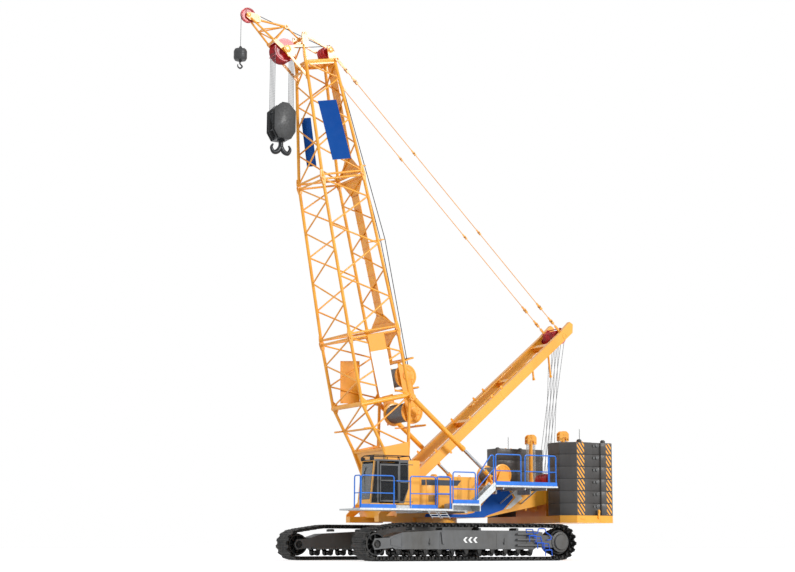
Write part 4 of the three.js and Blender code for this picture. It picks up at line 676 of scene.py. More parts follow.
def housingTrim(side, label):
    h = housingShape
    rear, front = h[label]
    door = h.doors[label]
    seams, frames, bolts = bmesh.new(), bmesh.new(), bmesh.new()
    out = side * h.outer
    near = lambda a, b: (out + side * a, out + side * b)
    step = (front - rear) / max(1, round((front - rear) / 0.9))
    x = rear + step
    while x < front - 0.1:
        if abs(x - door) > 0.36:
            addBox(seams, (x - 0.004, near(0.0005, 0.003)[0], h.bottom + 0.03),
                (x + 0.004, near(0.0005, 0.003)[1], h.top - 0.03))
        x += step
    # folded edges of the roof and bottom
    addTubeX(frames, rear, front, out - side * 0.012, h.top, 0.014, 8)
    addBox(frames, (rear + 0.02, near(0.0005, 0.012)[0], h.bottom + 0.005),
        (front - 0.02, near(0.0005, 0.012)[1], h.bottom + 0.045))
    for end in (rear + 0.03, front - 0.03):
        addBox(frames, (end - 0.02, near(0.0005, 0.010)[0], h.bottom + 0.05),
            (end + 0.02, near(0.0005, 0.010)[1], h.top - 0.02))
    for i in range(int((front - rear) / 0.45)):
        x = rear + 0.15 + 0.45 * i
        addTubeZ(bolts, x, out - side * 0.3, h.top + 0.0005, h.top + 0.012, 0.012, 6)
        addTubeZ(bolts, x, side * 1.8, h.top + 0.0005, h.top + 0.012, 0.012, 6)
    # lifting eyes on the roof, and an intake with a rain cap
    for x in (rear + 0.35, front - 0.35):
        addTurned(frames, (x, side * 2.3 - 0.012, h.top + 0.06), [(0, 0.028), (0, 0.06), (0.024, 0.06),
            (0.024, 0.028), (0, 0.028)], 20)
    if label == "right":
        for x in (-3.2, -2.7, -2.2):
            addBox(frames, (x - 0.2, -2.75, h.top + 0.0005), (x + 0.2, -1.75, h.top + 0.05))
        for i in range(9):
            z = 2.16 + 0.075 * i
            addPlate(bolts, [(-3.7, z), (-2.2, z), (-2.2, z + 0.02), (-3.7, z + 0.02)], *near(0.0005, 0.022))
        addTubeZ(frames, -1.7, -2.1, h.top + 0.0005, h.top + 0.30, 0.13, 24)
        addTubeZ(frames, -1.7, -2.1, h.top + 0.27, h.top + 0.36, 0.17, 24, 0.10)
        addTubeZ(bolts, -1.1, -2.4, h.top + 0.0005, h.top + 0.52, 0.06, 16)
        addTube(bolts, (-1.1, -2.4, h.top + 0.50), (-1.22, -2.4, h.top + 0.62), 0.06, 16)
    bevelAll(frames, 0.003)
    makePiece(f"housing_seams_{label}", seams, "blackRubber")
    makePiece(f"housing_edges_{label}", frames, "glossYellowPaint")
    makePiece(f"housing_vents_{label}", bolts, "rubbedBlackSteel")
    # the blank dark band runs over the housing and the door, which takes its share along
    if label == "left":
        bm = bmesh.new()
        addFilm(bm, [(1.88, 2.80), (1.88, 3.005), (1.70, 3.005), (1.70, 2.80)], side, h.outer + 0.0032,
            0.002)
        addFilm(bm, [(1.125, 2.80), (1.125, 3.005), (0.13, 3.005), (0.31, 2.80)], side, h.outer + 0.0032,
            0.002)
        makePiece("housing_name_band", bm, "decalNavyFilm")
        bm = bmesh.new()
        addFilm(bm, [(1.667, 2.80), (1.667, 3.005), (1.133, 3.005), (1.133, 2.80)], side, h.outer - 0.0005,
            0.002)
        makePiece("door_name_band", bm, "decalNavyFilm", "service_door_left")
    # louvred door with hinges and a latch, over the plain leaf
    leaf, trim = bmesh.new(), bmesh.new()
    low, high = door - 0.27, door + 0.27
    addBox(leaf, (low, out - side * 0.04, 2.08), (high, out - side * 0.001, 3.01))
    bevelAll(leaf, 0.005, 2)
    for i in range(6):
        z = 2.20 + 0.04 * i
        addPlate(trim, [(low + 0.10, z), (high - 0.10, z), (high - 0.10, z + 0.02), (low + 0.10, z + 0.02)],
            *near(-0.001, 0.012))
    # pull handle: grip on two feet, with a lock barrel
    gx = low + 0.075
    addTubeZ(trim, gx, out + side * 0.028, 2.49, 2.63, 0.008, 10)
    for z in (2.50, 2.62):
        addTubeY(trim, gx, out - side * 0.002, out + side * 0.028, z, 0.007, 10)
    addTubeY(trim, gx, out - side * 0.001, out + side * 0.008, 2.44, 0.02, 16)
    doorBody = f"service_door_{label}"
    makePiece(f"door_leaf_{label}", leaf, "glossYellowPaint", doorBody, doorBody)
    makePiece(f"door_trim_{label}", trim, "rubbedBlackSteel", doorBody, doorBody)


for side, label in sides:
    housingTrim(side, label)
print("housings dressed")

# cab
cabShape = Settings(inner=2.10, outer=3.10, rear=2.01, frontLow=4.12, frontHigh=3.95, floor=2.06, roof=3.71,
    rearBox=2.56, belt=2.93, door=(2.92, 3.73), doorFace=3.113)


def roundCorner(before, p, after, radius, steps=5):
    reach = min(radius, (p - before).length * 0.45, (p - after).length * 0.45)
    a, b = p + (before - p).normalized() * reach, p + (after - p).normalized() * reach
    return [a.lerp(p, k / steps).lerp(p.lerp(b, k / steps), k / steps) for k in range(steps + 1)]


def roundedOutline(points, radius):
    # rounds the corners of a closed outline
    points = [Vector(p) for p in points]
    rounded = [roundCorner(*three, radius) for three in zip(points[-1:] + points, points,
        points[1:] + points[:1])]
    return [tuple(p) for corner in rounded for p in corner]


def roundedPath(points, radius):
    # rounds the bends of an open path
    points = [Vector(p) for p in points]
    bends = [roundCorner(*three, radius) for three in zip(points, points[1:], points[2:])]
    return [points[0]] + [p for bend in bends for p in bend] + [points[-1]]


def addFrame(bm, outline, hole, low, high):
    # a flat ring between an outline and a hole with the same number of corners
    rings = [[bm.verts.new((x, y, z)) for x, z in ring] for y in (low, high) for ring in (outline, hole)]
    count, faces = len(outline), []
    for i in range(count):
        j = (i + 1) % count
        for a, b in ((0, 1), (1, 3), (3, 2), (2, 0)):
            faces.append(bm.faces.new((rings[a][i], rings[a][j], rings[b][j], rings[b][i])))
    bmesh.ops.recalc_face_normals(bm, faces=faces)


def insetOutline(outline, amount):
    # moves each edge of a convex outline inwards
    middle = Vector((sum(p[0] for p in outline) / len(outline), sum(p[1] for p in outline) / len(outline)))
    lines = []
    for a, b in zip(outline, outline[1:] + outline[:1]):
        a, b = Vector(a), Vector(b)
        along = (b - a).normalized()
        normal = Vector((-along.y, along.x))
        if normal.dot(middle - a) < 0:
            normal = -normal
        lines.append((a + normal * amount, along))
    points = []
    for (p, u), (q, v) in zip([lines[-1]] + lines[:-1], lines):
        cross = u.x * v.y - u.y * v.x
        t = ((q - p).x * v.y - (q - p).y * v.x) / cross
        points.append(tuple(p + u * t))
    return points


def cabFrontX(z, c=cabShape):
    return mix(c.frontLow, c.frontHigh, (z - c.floor) / (c.roof - c.floor))


def cabBody():
    c = cabShape
    dark, yellow, rubber = bmesh.new(), bmesh.new(), bmesh.new()
    wall = 0.045
    outer, inner = c.outer, c.inner
    # outer side: window frame behind the door, and the surround of the doorway
    sideY = (outer - wall, outer - 0.002)
    rearFrame = [(2.48, 3.66), (2.90, 3.66), (2.90, 2.10), (2.70, 2.10), (2.46, 2.62)]
    addFrame(dark, rearFrame, insetOutline(rearFrame, 0.055), *sideY)
    addBox(dark, (2.46, sideY[0], 2.86), (2.90, sideY[1], 2.93))
    addBox(dark, (2.46, sideY[0], 3.655), (cabFrontX(3.68) - 0.02, sideY[1], c.roof - 0.03))
    # doorway edges
    addBox(dark, (3.735, sideY[0], 2.10), (3.80, sideY[1], 3.66))
    frontFrame = [(3.80, 3.66), (cabFrontX(3.66) - 0.02, 3.66), (cabFrontX(2.1) - 0.02, 2.10), (3.80, 2.10)]
    addFrame(dark, frontFrame, insetOutline(frontFrame, 0.025), *sideY)
    # inner side, with one long window
    inY = (inner + 0.002, inner + wall)
    innerFrame = [(2.56, 3.66), (cabFrontX(3.66) - 0.03, 3.66), (cabFrontX(2.1) - 0.03, 2.10), (2.56, 2.10)]
    addFrame(dark, innerFrame, [(2.66, 3.54), (cabFrontX(3.54) - 0.12, 3.54), (cabFrontX(2.8) - 0.12, 2.80),
        (2.66, 2.80)], *inY)
    # runners of the sliding door, floor, roof lining and back wall
    for z in (2.154, 3.522):
        addBox(dark, (2.30, outer - 0.01, z), (3.73, outer + 0.0115, z + 0.024))
    addBox(dark, (c.rearBox, inner + 0.01, c.floor + 0.005), (c.frontLow - 0.04, outer - 0.01,
        c.floor + 0.045))
    addPlate(dark, roundedOutline([(2.30, 3.665), (2.30, 3.71), (3.955, 3.71), (3.97, 3.665)], 0.02),
        inner + 0.005, outer - 0.005)
    addBox(dark, (2.52, inner + 0.01, 2.1), (2.56, outer - 0.05, 3.66))
    # yellow back part, pillars and sills
    back = roundedOutline([(c.rear, 2.062), (c.rear, 3.70), (2.50, 3.70), (2.49, 2.66), (2.70, 2.062)], 0.05)
    addPlate(yellow, back, outer - 0.03, outer)
    addPlate(yellow, roundedOutline([(c.rear, 2.062), (c.rear, 3.70), (2.52, 3.70), (2.52, 2.062)], 0.05),
        inner, inner + 0.03)
    addBox(yellow, (c.rear + 0.003, inner + 0.02, 2.07), (c.rear + 0.03, outer - 0.02, 3.66))
    addPlate(yellow, roundedOutline([(c.rear + 0.004, 3.64), (c.rear + 0.004, 3.70), (2.52, 3.70),
        (2.52, 3.64)], 0.03), inner + 0.02, outer - 0.02)
    addBox(yellow, (2.60, outer - 0.05, 2.062), (4.10, outer - 0.001, 2.105))
    addBox(yellow, (2.52, inner + 0.001, 2.062), (4.10, inner + 0.05, 2.105))
    for y in (inner + 0.035, outer - 0.036):
        addTube(yellow, (c.frontLow - 0.035, y, 2.066), (c.frontHigh - 0.035, y, 3.70), 0.034, 14)
    addBox(yellow, (c.frontLow - 0.08, inner + 0.03, 2.062), (c.frontLow - 0.005, outer - 0.03, 2.24))
    addTubeY(yellow, c.frontHigh - 0.04, inner + 0.03, outer - 0.03, 3.675, 0.034, 14)
    bevelAll(yellow, 0.004)
    # roof rail of black pipe, mirror arms, wiper, work lamps
    rail = [(2.36, 3.715), (2.42, 3.86), (3.90, 3.86), (3.99, 3.80)]
    for y in (inner + 0.12, outer - 0.08):
        for a, b in zip(rail, rail[1:]):
            addTube(rubber, (a[0], y, a[1]), (b[0], y, b[1]), 0.018, 10)
        for x in (2.9, 3.5):
            addTubeZ(rubber, x, y, 3.711, 3.86, 0.014, 8)
    for x in (2.42, 3.90):
        addTubeY(rubber, x, inner + 0.12, outer - 0.08, 3.86, 0.018, 10)
    for y in (inner + 0.15, outer - 0.15):
        addTubeX(rubber, 3.90, 4.02, y, 3.735, 0.06, 16, 0.075)
    addTube(rubber, (4.06, 2.62, 2.36), (4.00, 2.45, 3.2), 0.01, 8)
    addTube(rubber, (4.01, 2.30, 3.0), (3.99, 2.55, 3.45), 0.012, 6)
    makePiece("cab_frame", dark, "cabGreyPaint", replaces="cab_shell")
    makePiece("cab_yellow_parts", yellow, "glossYellowPaint", replaces="cab_shell")
    makePiece("cab_roof_rail", rubber, "blackRubber", replaces="cab_shell")
    # fixed glass
    glass = bmesh.new()
    for pane in (insetOutline(rearFrame, 0.05), insetOutline(frontFrame, 0.02)):
        addPlate(glass, pane, outer - 0.028, outer - 0.018)
    addPlate(glass, [(2.655, 3.545), (cabFrontX(3.54) - 0.115, 3.545), (cabFrontX(2.8) - 0.115, 2.795),
        (2.655, 2.795)], inner + 0.018, inner + 0.028)
    makePiece("cab_side_glass", glass, "tintedCabGlass", replaces="cab_shell")


def cabDoor():
    c = cabShape
    leaf, glass, handle = bmesh.new(), bmesh.new(), bmesh.new()
    low, high = c.door
    y = (c.doorFace, c.doorFace + 0.030)
    outline = [(low - 0.015, 2.155), (high, 2.155), (high, 3.545), (low - 0.015, 3.545)]
    addFrame(leaf, outline, [(low + 0.05, 2.22), (high - 0.05, 2.22), (high - 0.05, 3.48),
        (low + 0.05, 3.48)], *y)
    addBox(leaf, (low + 0.04, y[0] + 0.002, c.belt - 0.02), (high - 0.04, y[1] - 0.002, c.belt + 0.025))
    for z in (2.83, 2.62):
        addTubeZ(handle, low + 0.13, y[1] + 0.012, z, z + 0.16, 0.009, 10)
        addTubeY(handle, low + 0.13, y[1] - 0.012, y[1] + 0.012, z + 0.01, 0.008, 8)
        addTubeY(handle, low + 0.13, y[1] - 0.012, y[1] + 0.012, z + 0.15, 0.008, 8)
    addBox(glass, (low + 0.045, y[0] + 0.010, 2.215), (high - 0.045, y[0] + 0.018, 3.485))
    makePiece("cab_door_frame", leaf, "cabGreyPaint", "cab_door", "cab_door")
    makePiece("cab_door_handles", handle, "blackRubber", "cab_door", "cab_door")
    makePiece("cab_door_pane", glass, "tintedCabGlass", "cab_door", "cab_door_glass")


cabBody()
cabDoor()
dress("clearScreenGlass", "windscreen")
print("cab made")

# walkways: gratings over the CAD floors, with rails and toe boards
walkShape = Settings(inner=3.12, outer=3.70, front=4.85, raiseAt=0.95, rear=-0.30, low=1.90, raised=2.11,
    rail=1.18, middle=0.55, rearFront=-1.15, rearRear=-4.06, rearLevel=2.85, pipe=0.024, toe=0.15)


def addPipe(bm, points, radius, sides=10):
    # a pipe along points, with mitred joints
    rings = []
    points = [Vector(p) for p in points]
    for i, p in enumerate(points):
        before = (p - points[i - 1]).normalized() if i else (points[1] - p).normalized()
        after = (points[i + 1] - p).normalized() if i < len(points) - 1 else before
        along = (before + after).normalized()
        turn = Vector((0, 0, 1)).rotation_difference(along).to_matrix()
        if rings:
            # keep the ring from twisting against the last one
            twist = turn.transposed() @ (rings[-1][1] @ Vector((1, 0, 0)))
            turn = turn @ Matrix.Rotation(math.atan2(twist.y, twist.x), 3, "Z")
        stretch = 1 / max(0.6, along.dot(before))
        ring = [bm.verts.new(p + turn @ Vector((radius * math.cos(a), radius * math.sin(a),
            0)) * (1 + (stretch - 1) * 0.3)) for a in (math.tau * k / sides for k in range(sides))]
        rings.append((ring, turn))
    for (a, _), (b, _) in zip(rings, rings[1:]):
        for k in range(sides):
            bm.faces.new((a[k], a[(k + 1) % sides], b[(k + 1) % sides], b[k]))
    bm.faces.new(rings[0][0][::-1])
    bm.faces.new(rings[-1][0])


def addRail(bm, run, floor, hoops):
    # run gives (x, y) of the posts' feet; each hoop joins two posts with a rounded top and a middle bar
    w = walkShape
    for a, b in hoops:
        (xa, ya), (xb, yb) = run[a], run[b]
        top = floor + w.rail
        addPipe(bm, roundedPath([(xa, ya, floor + 0.002), (xa, ya, top), (xb, yb, top),
            (xb, yb, floor + 0.002)], 0.10), w.pipe)
        addTube(bm, (xa, ya, floor + w.middle), (xb, yb, floor + w.middle), w.pipe * 0.85, 10)
    for x, y in run:
        addBox(bm, (x - 0.05, y - 0.035, floor + 0.001), (x + 0.05, y + 0.035, floor + 0.012))


def addGrating(bm, x0, x1, y0, y1, z, bars, rods):
    # bearing bars across a walkway and thin rods along it
    for i in range(bars + 1):
        x = mix(x0, x1, i / bars)
        addBox(bm, (x - 0.004, y0, z + 0.0005), (x + 0.004, y1, z + 0.012))
    for i in range(rods + 1):
        y = mix(y0, y1, i / rods)
        addBox(bm, (x0, y - 0.003, z + 0.0005), (x1, y + 0.003, z + 0.010))


def sideWalkway(side, label):
    # the left side is railed along its whole length, the right side only along its raised part
    w, left, y = walkShape, side > 0, side * 3.65
    rails, toes, grating = bmesh.new(), bmesh.new(), bmesh.new()
    raised, lower = (w.rear + 0.06, w.raiseAt - 0.06, w.raised), (w.raiseAt + 0.04, w.front - 0.05, w.low)
    boards, floors = [raised], [raised]
    if left:
        addRail(rails, [(x, y) for x in (4.78, 3.42, 3.32, 2.73, 1.65, 0.99)], w.low,
            ((0, 1), (3, 4), (4, 5)))
        addTubeX(rails, 3.32, 2.73, y, w.low + 1.0, 0.02, 10)
        # return along the front end of the walkway, and the self-closing gate
        addRail(rails, [(4.80, 3.62), (4.80, 3.18)], w.low, [(0, 1)])
        addRail(rails, [(1.60, 3.69), (1.04, 3.69)], w.low + 0.02, [(0, 1)])
        boards += [(1.62, 2.70, w.low), (3.35, lower[1], w.low)]
        floors.append(lower)
    addRail(rails, [(0.89, y), (-0.10 if left else -0.24, y)], w.raised, [(0, 1)])
    for x0, x1, z in boards:
        addBox(toes, (x0, side * 3.682, z + 0.004), (x1, side * 3.690, z + w.toe))
    for x0, x1, z in floors:
        addGrating(grating, x0 - 0.03, x1 + 0.03, side * (w.inner + 0.02), side * (w.outer - 0.002), z,
            int((x1 - x0 + 0.06) / 0.06), 6)
    makePiece(f"walkway_rails_{label}", rails, "railBluePaint", replaces=f"handrail_{label}")
    makePiece(f"toe_boards_{label}", toes, "railBluePaint")
    makePiece(f"walkway_grating_{label}", grating, "galvanisedSteel")


def rearWalkway():
    w, level, y = walkShape, walkShape.rearLevel, 3.38
    rails, toes, grating = bmesh.new(), bmesh.new(), bmesh.new()
    addRail(rails, [(x, y) for x in (-1.19, -2.35, -2.54, -3.72, -3.46, -4.0)], level, [(0, 1), (2, 5)])
    addTubeZ(rails, -3.64, y, level + 0.01, level + w.rail, 0.02, 10)
    addRail(rails, [(-4.02, 3.34), (-4.02, 2.9)], level, [(0, 1)])
    # handrail of the stairs
    stair = [(-0.36, 2.13), (-0.36, 3.16), (-0.96, 3.98), (-1.09, 3.98), (-1.09, 2.87)]
    addPipe(rails, roundedPath([(x, y, z) for x, z in stair], 0.08), w.pipe)
    addTube(rails, (-0.36, y, 2.72), (-1.09, y, 3.45), w.pipe * 0.85, 10)
    rear, front = w.rearRear + 0.02, w.rearFront - 0.02
    addBox(toes, (rear + 0.01, 3.405, level + 0.004), (front - 0.01, 3.413, level + w.toe))
    addBox(toes, (rear, 2.2, level + 0.004), (rear + 0.008, 3.40, level + w.toe))
    addGrating(grating, rear, front, 1.56, 3.40, level, 48, 17)
    # brackets underneath
    for x in (-1.6, -2.6, -3.6):
        addBox(grating, (x - 0.02, 1.54, level - 0.16), (x + 0.02, 3.3, level - 0.065))
        addTube(grating, (x, 1.54, level - 0.62), (x, 2.6, level - 0.14), 0.03, 8)
    makePiece("rear_rails", rails, "railBluePaint", replaces="handrail_rear")
    makePiece("rear_toe_boards", toes, "railBluePaint")
    makePiece("rear_grating", grating, "galvanisedSteel")


def addLadder(bm):
    # fold-down ladder under the gate, leaning inwards: two lengths side by side
    at = lambda x, t: (x - 0.18 * t, mix(3.60, 3.66, t), mix(1.835, 1.56, t))
    for x in (1.20, 1.62):
        for dx in (0.0, 0.34):
            addTube(bm, at(x + dx, 0), at(x + dx, 1), 0.014, 8)
        for t in (0.15, 0.47, 0.79):
            addTube(bm, at(x, t), at(x + 0.34, t), 0.016, 8)


for side, label in sides:
    sideWalkway(side, label)
rearWalkway()
bm = bmesh.new()
addLadder(bm)
# stair strings beside the open treads
for y in (3.02, 3.40):
    addPlate(bm, [(-0.30, 2.10), (-0.22, 2.18), (-1.12, 2.97), (-1.2, 2.87)], y - 0.012, y + 0.012)
makePiece("ladder_and_strings", bm, "galvanisedSteel")
dress("galvanisedSteel", "walkway_left", "walkway_right", "walkway_rear")
print("walkways made")

# counterweights: six cast slabs a side, hazard film, knobs in the groove, lugs on top
stackShape = Settings(front=-4.68, rear=-7.02, inner=1.86, outer=3.15, chamfer=0.49, rearChamfer=0.12,
    bottom=1.75, slab=0.483, count=6, grooveX=-6.155, groove=0.22)


def makeStack(side, label):
    k = stackShape
    slabs, knobs, film, cap, mast = (bmesh.new() for part in range(5))
    grooveFront, grooveRear = k.grooveX + k.groove, k.grooveX - k.groove
    corners = [(k.front, k.inner), (k.front, k.outer - k.chamfer), (k.front - k.chamfer, k.outer),
        (grooveFront, k.outer), (grooveFront - 0.02, k.outer - 0.085), (grooveRear + 0.02, k.outer - 0.085),
        (grooveRear, k.outer), (k.rear + k.rearChamfer, k.outer), (k.rear, k.outer - k.rearChamfer),
        (k.rear, k.inner)]
    lows = [k.bottom + i * k.slab for i in range(k.count)]
    for low in lows:
        addPlate(slabs, [(x, side * y) for x, y in corners], low + 0.004, low + k.slab - 0.002, "Z")
    bevelAll(slabs, 0.012, 2)
    top = k.bottom + k.count * k.slab
    # lifting lugs on the top slab
    for x in (k.front - 0.75, k.rear + 0.42):
        addTubeZ(slabs, x, side * 2.98, top - 0.002, top + 0.09, 0.10, 20)
        addTubeZ(slabs, x, side * 2.98, top + 0.088, top + 0.12, 0.065, 20)
    start = side * (k.outer - 0.084)
    for low in lows:
        z = low + 0.5 * k.slab + 0.12
        addTurned(knobs, (k.grooveX - 0.06, start, z), [(0, 0), (0, 0.07), (side * 0.03, 0.07),
            (side * 0.045, 0.06), (side * 0.05, 0.035), (side * 0.05, 0)], 20)
        addBox(knobs, (k.grooveX + 0.05, start, z - 0.05), (k.grooveX + 0.14, start + side * 0.04, z + 0.03))
    # hazard film, with a UV map in metres that drives its diagonal bars
    layer = film.loops.layers.uv.new("stripe")
    across = side * (k.outer + 0.001)
    bend, end = k.front - k.chamfer, k.rear + k.rearChamfer
    for x0, x1 in ((bend - 0.38, bend - 0.03), (end + 0.02, end + 0.27)):
        for low in lows:
            z0, z1 = low + 0.03, low + k.slab - 0.03
            outline = ((x0, z0), (x1, z0), (x1, z1), (x0, z1))
            face = film.faces.new([film.verts.new((x, across, z)) for x, z in outline])
            for loop in face.loops:
                loop[layer].uv = (loop.vert.co.x, -loop.vert.co.z * 0.75)
    bmesh.ops.recalc_face_normals(film, faces=film.faces[:])
    bmesh.ops.solidify(film, geom=film.faces[:], thickness=-0.0015)
    # rigging left on the top: a small yellow plate with two upright pins, and a thin mast
    x, y = k.front - 1.05, side * 2.6
    addBox(cap, (x - 0.22, y - 0.12, top + 0.001), (x + 0.22, y + 0.12, top + 0.035))
    for dx in (-0.14, 0.14):
        addTubeZ(cap, x + dx, y, top + 0.03, top + 0.07, 0.03, 12)
    bevelAll(cap, 0.004)
    addTubeZ(mast, x, y, top + 0.03, top + 0.56, 0.007, 6)
    for i in range(8):
        z, lean = top + 0.08 + 0.06 * i, 0.014 * (i % 2 * 2 - 1)
        addTube(mast, (x - lean, y, z - 0.02), (x + lean, y, z + 0.02), 0.009, 6)
    makePiece(f"ballast_slabs_{label}", slabs, "ballastPaint", replaces=f"counterweight_{label}")
    makePiece(f"slab_knobs_{label}", knobs, "satinGreyPaint")
    makePiece(f"hazard_film_{label}", film, "hazardStripeFilm")
    makePiece(f"stack_cap_{label}", cap, "glossYellowPaint")
    makePiece(f"stack_mast_{label}", mast, "rubbedBlackSteel")


for side, label in sides:
    makeStack(side, label)

# tray fittings: latch, seams
bm = bmesh.new()
for side in (-1, 1):
    k = stackShape
    out = side * (k.outer + 0.001)
    near = lambda a, b: (out + side * a, out + side * b)
    addBox(bm, (k.grooveX - 0.10, near(0, 0.05)[0], 1.62), (k.grooveX - 0.02, near(0, 0.05)[1], 1.98))
    addTubeY(bm, k.grooveX - 0.06, out, out + side * 0.07, 1.90, 0.045, 14)
    addPlate(bm, [(-5.55, 1.58), (-5.35, 1.60), (-5.35, 1.64), (-5.55, 1.62)], *near(0, 0.02))
    addBox(bm, (-6.30, near(0.0, 0.006)[0], 1.465), (-6.285, near(0.0, 0.006)[1], 1.745))
bevelAll(bm, 0.004)
makePiece("tray_fittings", bm, "glossYellowPaint")
print("counterweights made")


# hoist posts that lift the ballast, with their hanging chains
def chain(bm, start, length, size=0.045, wire=0.009):
    # welded links, every other one turned a quarter
    count = int(length / (size * 1.35))
    for i in range(count):
        centre = Vector(start) - Vector((0, 0, size * 1.35 * (i + 0.5)))
        flat = Vector((1, 0, 0)) if i % 2 else Vector((0, 1, 0))
        ring = []
        for j in range(10):
            turn = math.tau * j / 10
            ring.append(centre + flat * size * 0.42 * math.cos(turn) + Vector((0, 0,
                1)) * size * 0.85 * math.sin(turn))
        for a, b in zip(ring, ring[1:] + ring[:1]):
            addTube(bm, a, b, wire, 5)


postShape = Settings(x=-5.93, y=1.17, top=5.16, foot=2.905)
for side, label in sides:
    p, bm = postShape, bmesh.new()
    x, y = p.x, side * p.y
    addBox(bm, (x - 0.17, y - 0.14, p.foot), (x + 0.17, y + 0.14, p.foot + 0.04))
    for dx in (-0.12, 0.12):
        for dy in (-0.1, 0.1):
            addTubeZ(bm, x + dx, y + dy, p.foot + 0.04, p.foot + 0.07, 0.022, 6)
    addTubeZ(bm, x, y, p.foot + 0.03, p.foot + 0.42, 0.115, 20, 0.10)
    addTubeZ(bm, x, y, p.foot + 0.40, p.top - 0.1, 0.078, 20)
    for dx in (-1, 1):
        addPlate(bm, [(x + dx * 0.06, p.foot + 0.04), (x + dx * 0.16, p.foot + 0.04),
            (x + dx * 0.09, p.foot + 0.34)], y - 0.012, y + 0.012)
    head = roundedOutline([(x - 0.23, p.top - 0.36), (x - 0.23, p.top - 0.04), (x - 0.11, p.top + 0.06),
        (x + 0.11, p.top + 0.06), (x + 0.23, p.top - 0.04), (x + 0.23, p.top - 0.36),
        (x + 0.10, p.top - 0.36), (x + 0.10, p.top - 0.2), (x - 0.10, p.top - 0.2),
        (x - 0.10, p.top - 0.36)], 0.05)
    for dy in (-0.1, 0.1):
        addPlate(bm, head, y + dy - 0.01, y + dy + 0.01)
    addTubeY(bm, x, y - 0.12, y + 0.12, p.top - 0.08, 0.045, 16)
    for dx in (-0.17, 0.17):
        addTubeY(bm, x + dx, y - 0.11, y + 0.11, p.top - 0.27, 0.028, 12)
        addTubeY(bm, x + dx, y - 0.07, y + 0.07, p.top - 0.16, 0.06, 16)
    makePiece(f"ballast_post_{label}", bm, "glossYellowPaint", replaces=f"hoist_post_{label}")
    bm = bmesh.new()
    for dx in (-0.17, 0.17):
        for dy in (-0.05, 0.05):
            chain(bm, (x + dx, y + dy, p.top - 0.30), 1.75 if dy > 0 else 1.6)
    makePiece(f"ballast_chains_{label}", bm, "galvanisedSteel", slotName="bare_steel")
print("posts and chains made")

# the lattice boom, drawn along its own axis from the foot pin: X along, Y across, Z towards its back
boomShape = Settings(base=6.39, insert=12.65, head=17.35, heavy=3.74, mid=2.77, midFront=-0.77, plate=1.89,
    plateFront=-0.48, plateBack=0.6, chord=0.062, lace=0.033, strut=0.042, frameTube=0.08, gap=0.09,
    full=(1.209, -1.066, 1.066), neck=(1.04, -0.898, 0.898), top=(0.43, -0.37, 0.91))


def chordsAt(section, t):
    low, high, start, end = section
    half, front, back = (mix(a, b, t) for a, b in zip(start, end))
    x = mix(low, high, t)
    return {"FL": Vector((x, half, front)), "BL": Vector((x, half, back)), "BR": Vector((x, -half, back)),
        "FR": Vector((x, -half, front))}


def addLattice(bm, section, faces, inset):
    span = section[1] - section[0]
    low, high = inset[0] / span, 1 - inset[1] / span
    ends = chordsAt(section, 0), chordsAt(section, 1)
    for key in ends[0]:
        addTube(bm, ends[0][key], ends[1][key], boomShape.chord, 16)
    for (a, b), bays, growth, below in faces:
        for t in (low, high):
            ring = chordsAt(section, t)
            addTube(bm, ring[a], ring[b], boomShape.strut, 12)
        bottom = low if below is None else below
        share = [i / bays if growth == 1 else (1 - growth ** (i / bays)) / (1 - growth)
            for i in range(bays + 1)]
        for i in range(bays):
            start, end = (b, a) if i % 2 else (a, b)
            p = chordsAt(section, mix(high, bottom, share[i]))[start]
            q = chordsAt(section, mix(high, bottom, share[i + 1]))[end]
            addTube(bm, p, q, boomShape.lace, 10)
            # flattened weld collars where the lacing meets a chord
            reach = (q - p).normalized() * 0.085
            addTube(bm, p + reach * 0.6, p + reach * 1.25, boomShape.lace * 1.16, 10, boomShape.lace)
            addTube(bm, q - reach * 0.6, q - reach * 1.25, boomShape.lace * 1.16, 10, boomShape.lace)


def addJointLugs(bm, section, t, direction):
    # forked lugs with a cross pin, on the end of each chord
    for at in chordsAt(section, t).values():
        x = at.x + direction * 0.001
        for side in ((-1, 1) if direction > 0 else (0, )):
            y = at.y + side * 0.052
            thick = 0.022 if direction > 0 else 0.032
            addPlate(bm, [(x - direction * 0.30, at.z - 0.05), (x - direction * 0.11, at.z - 0.085),
                (x, at.z - 0.085), (x, at.z + 0.085), (x - direction * 0.11, at.z + 0.085),
                (x - direction * 0.30, at.z + 0.05)], y - thick, y + thick)
        if direction > 0:
            addTubeY(bm, x - 0.07, at.y - 0.105, at.y + 0.105, at.z, 0.036, 12)
            addTubeY(bm, x - 0.07, at.y + 0.095, at.y + 0.115, at.z, 0.05, 12)


baseSection = (boomShape.heavy, boomShape.base - 0.001, boomShape.full, boomShape.full)
insertSection = (boomShape.base, boomShape.insert - 0.001, boomShape.full, boomShape.neck)
topSection = (boomShape.insert, boomShape.head, boomShape.neck, boomShape.top)
leftFace, rightFace, frontFace, backFace = ("FL", "BL"), ("FR", "BR"), ("FL", "FR"), ("BL", "BR")


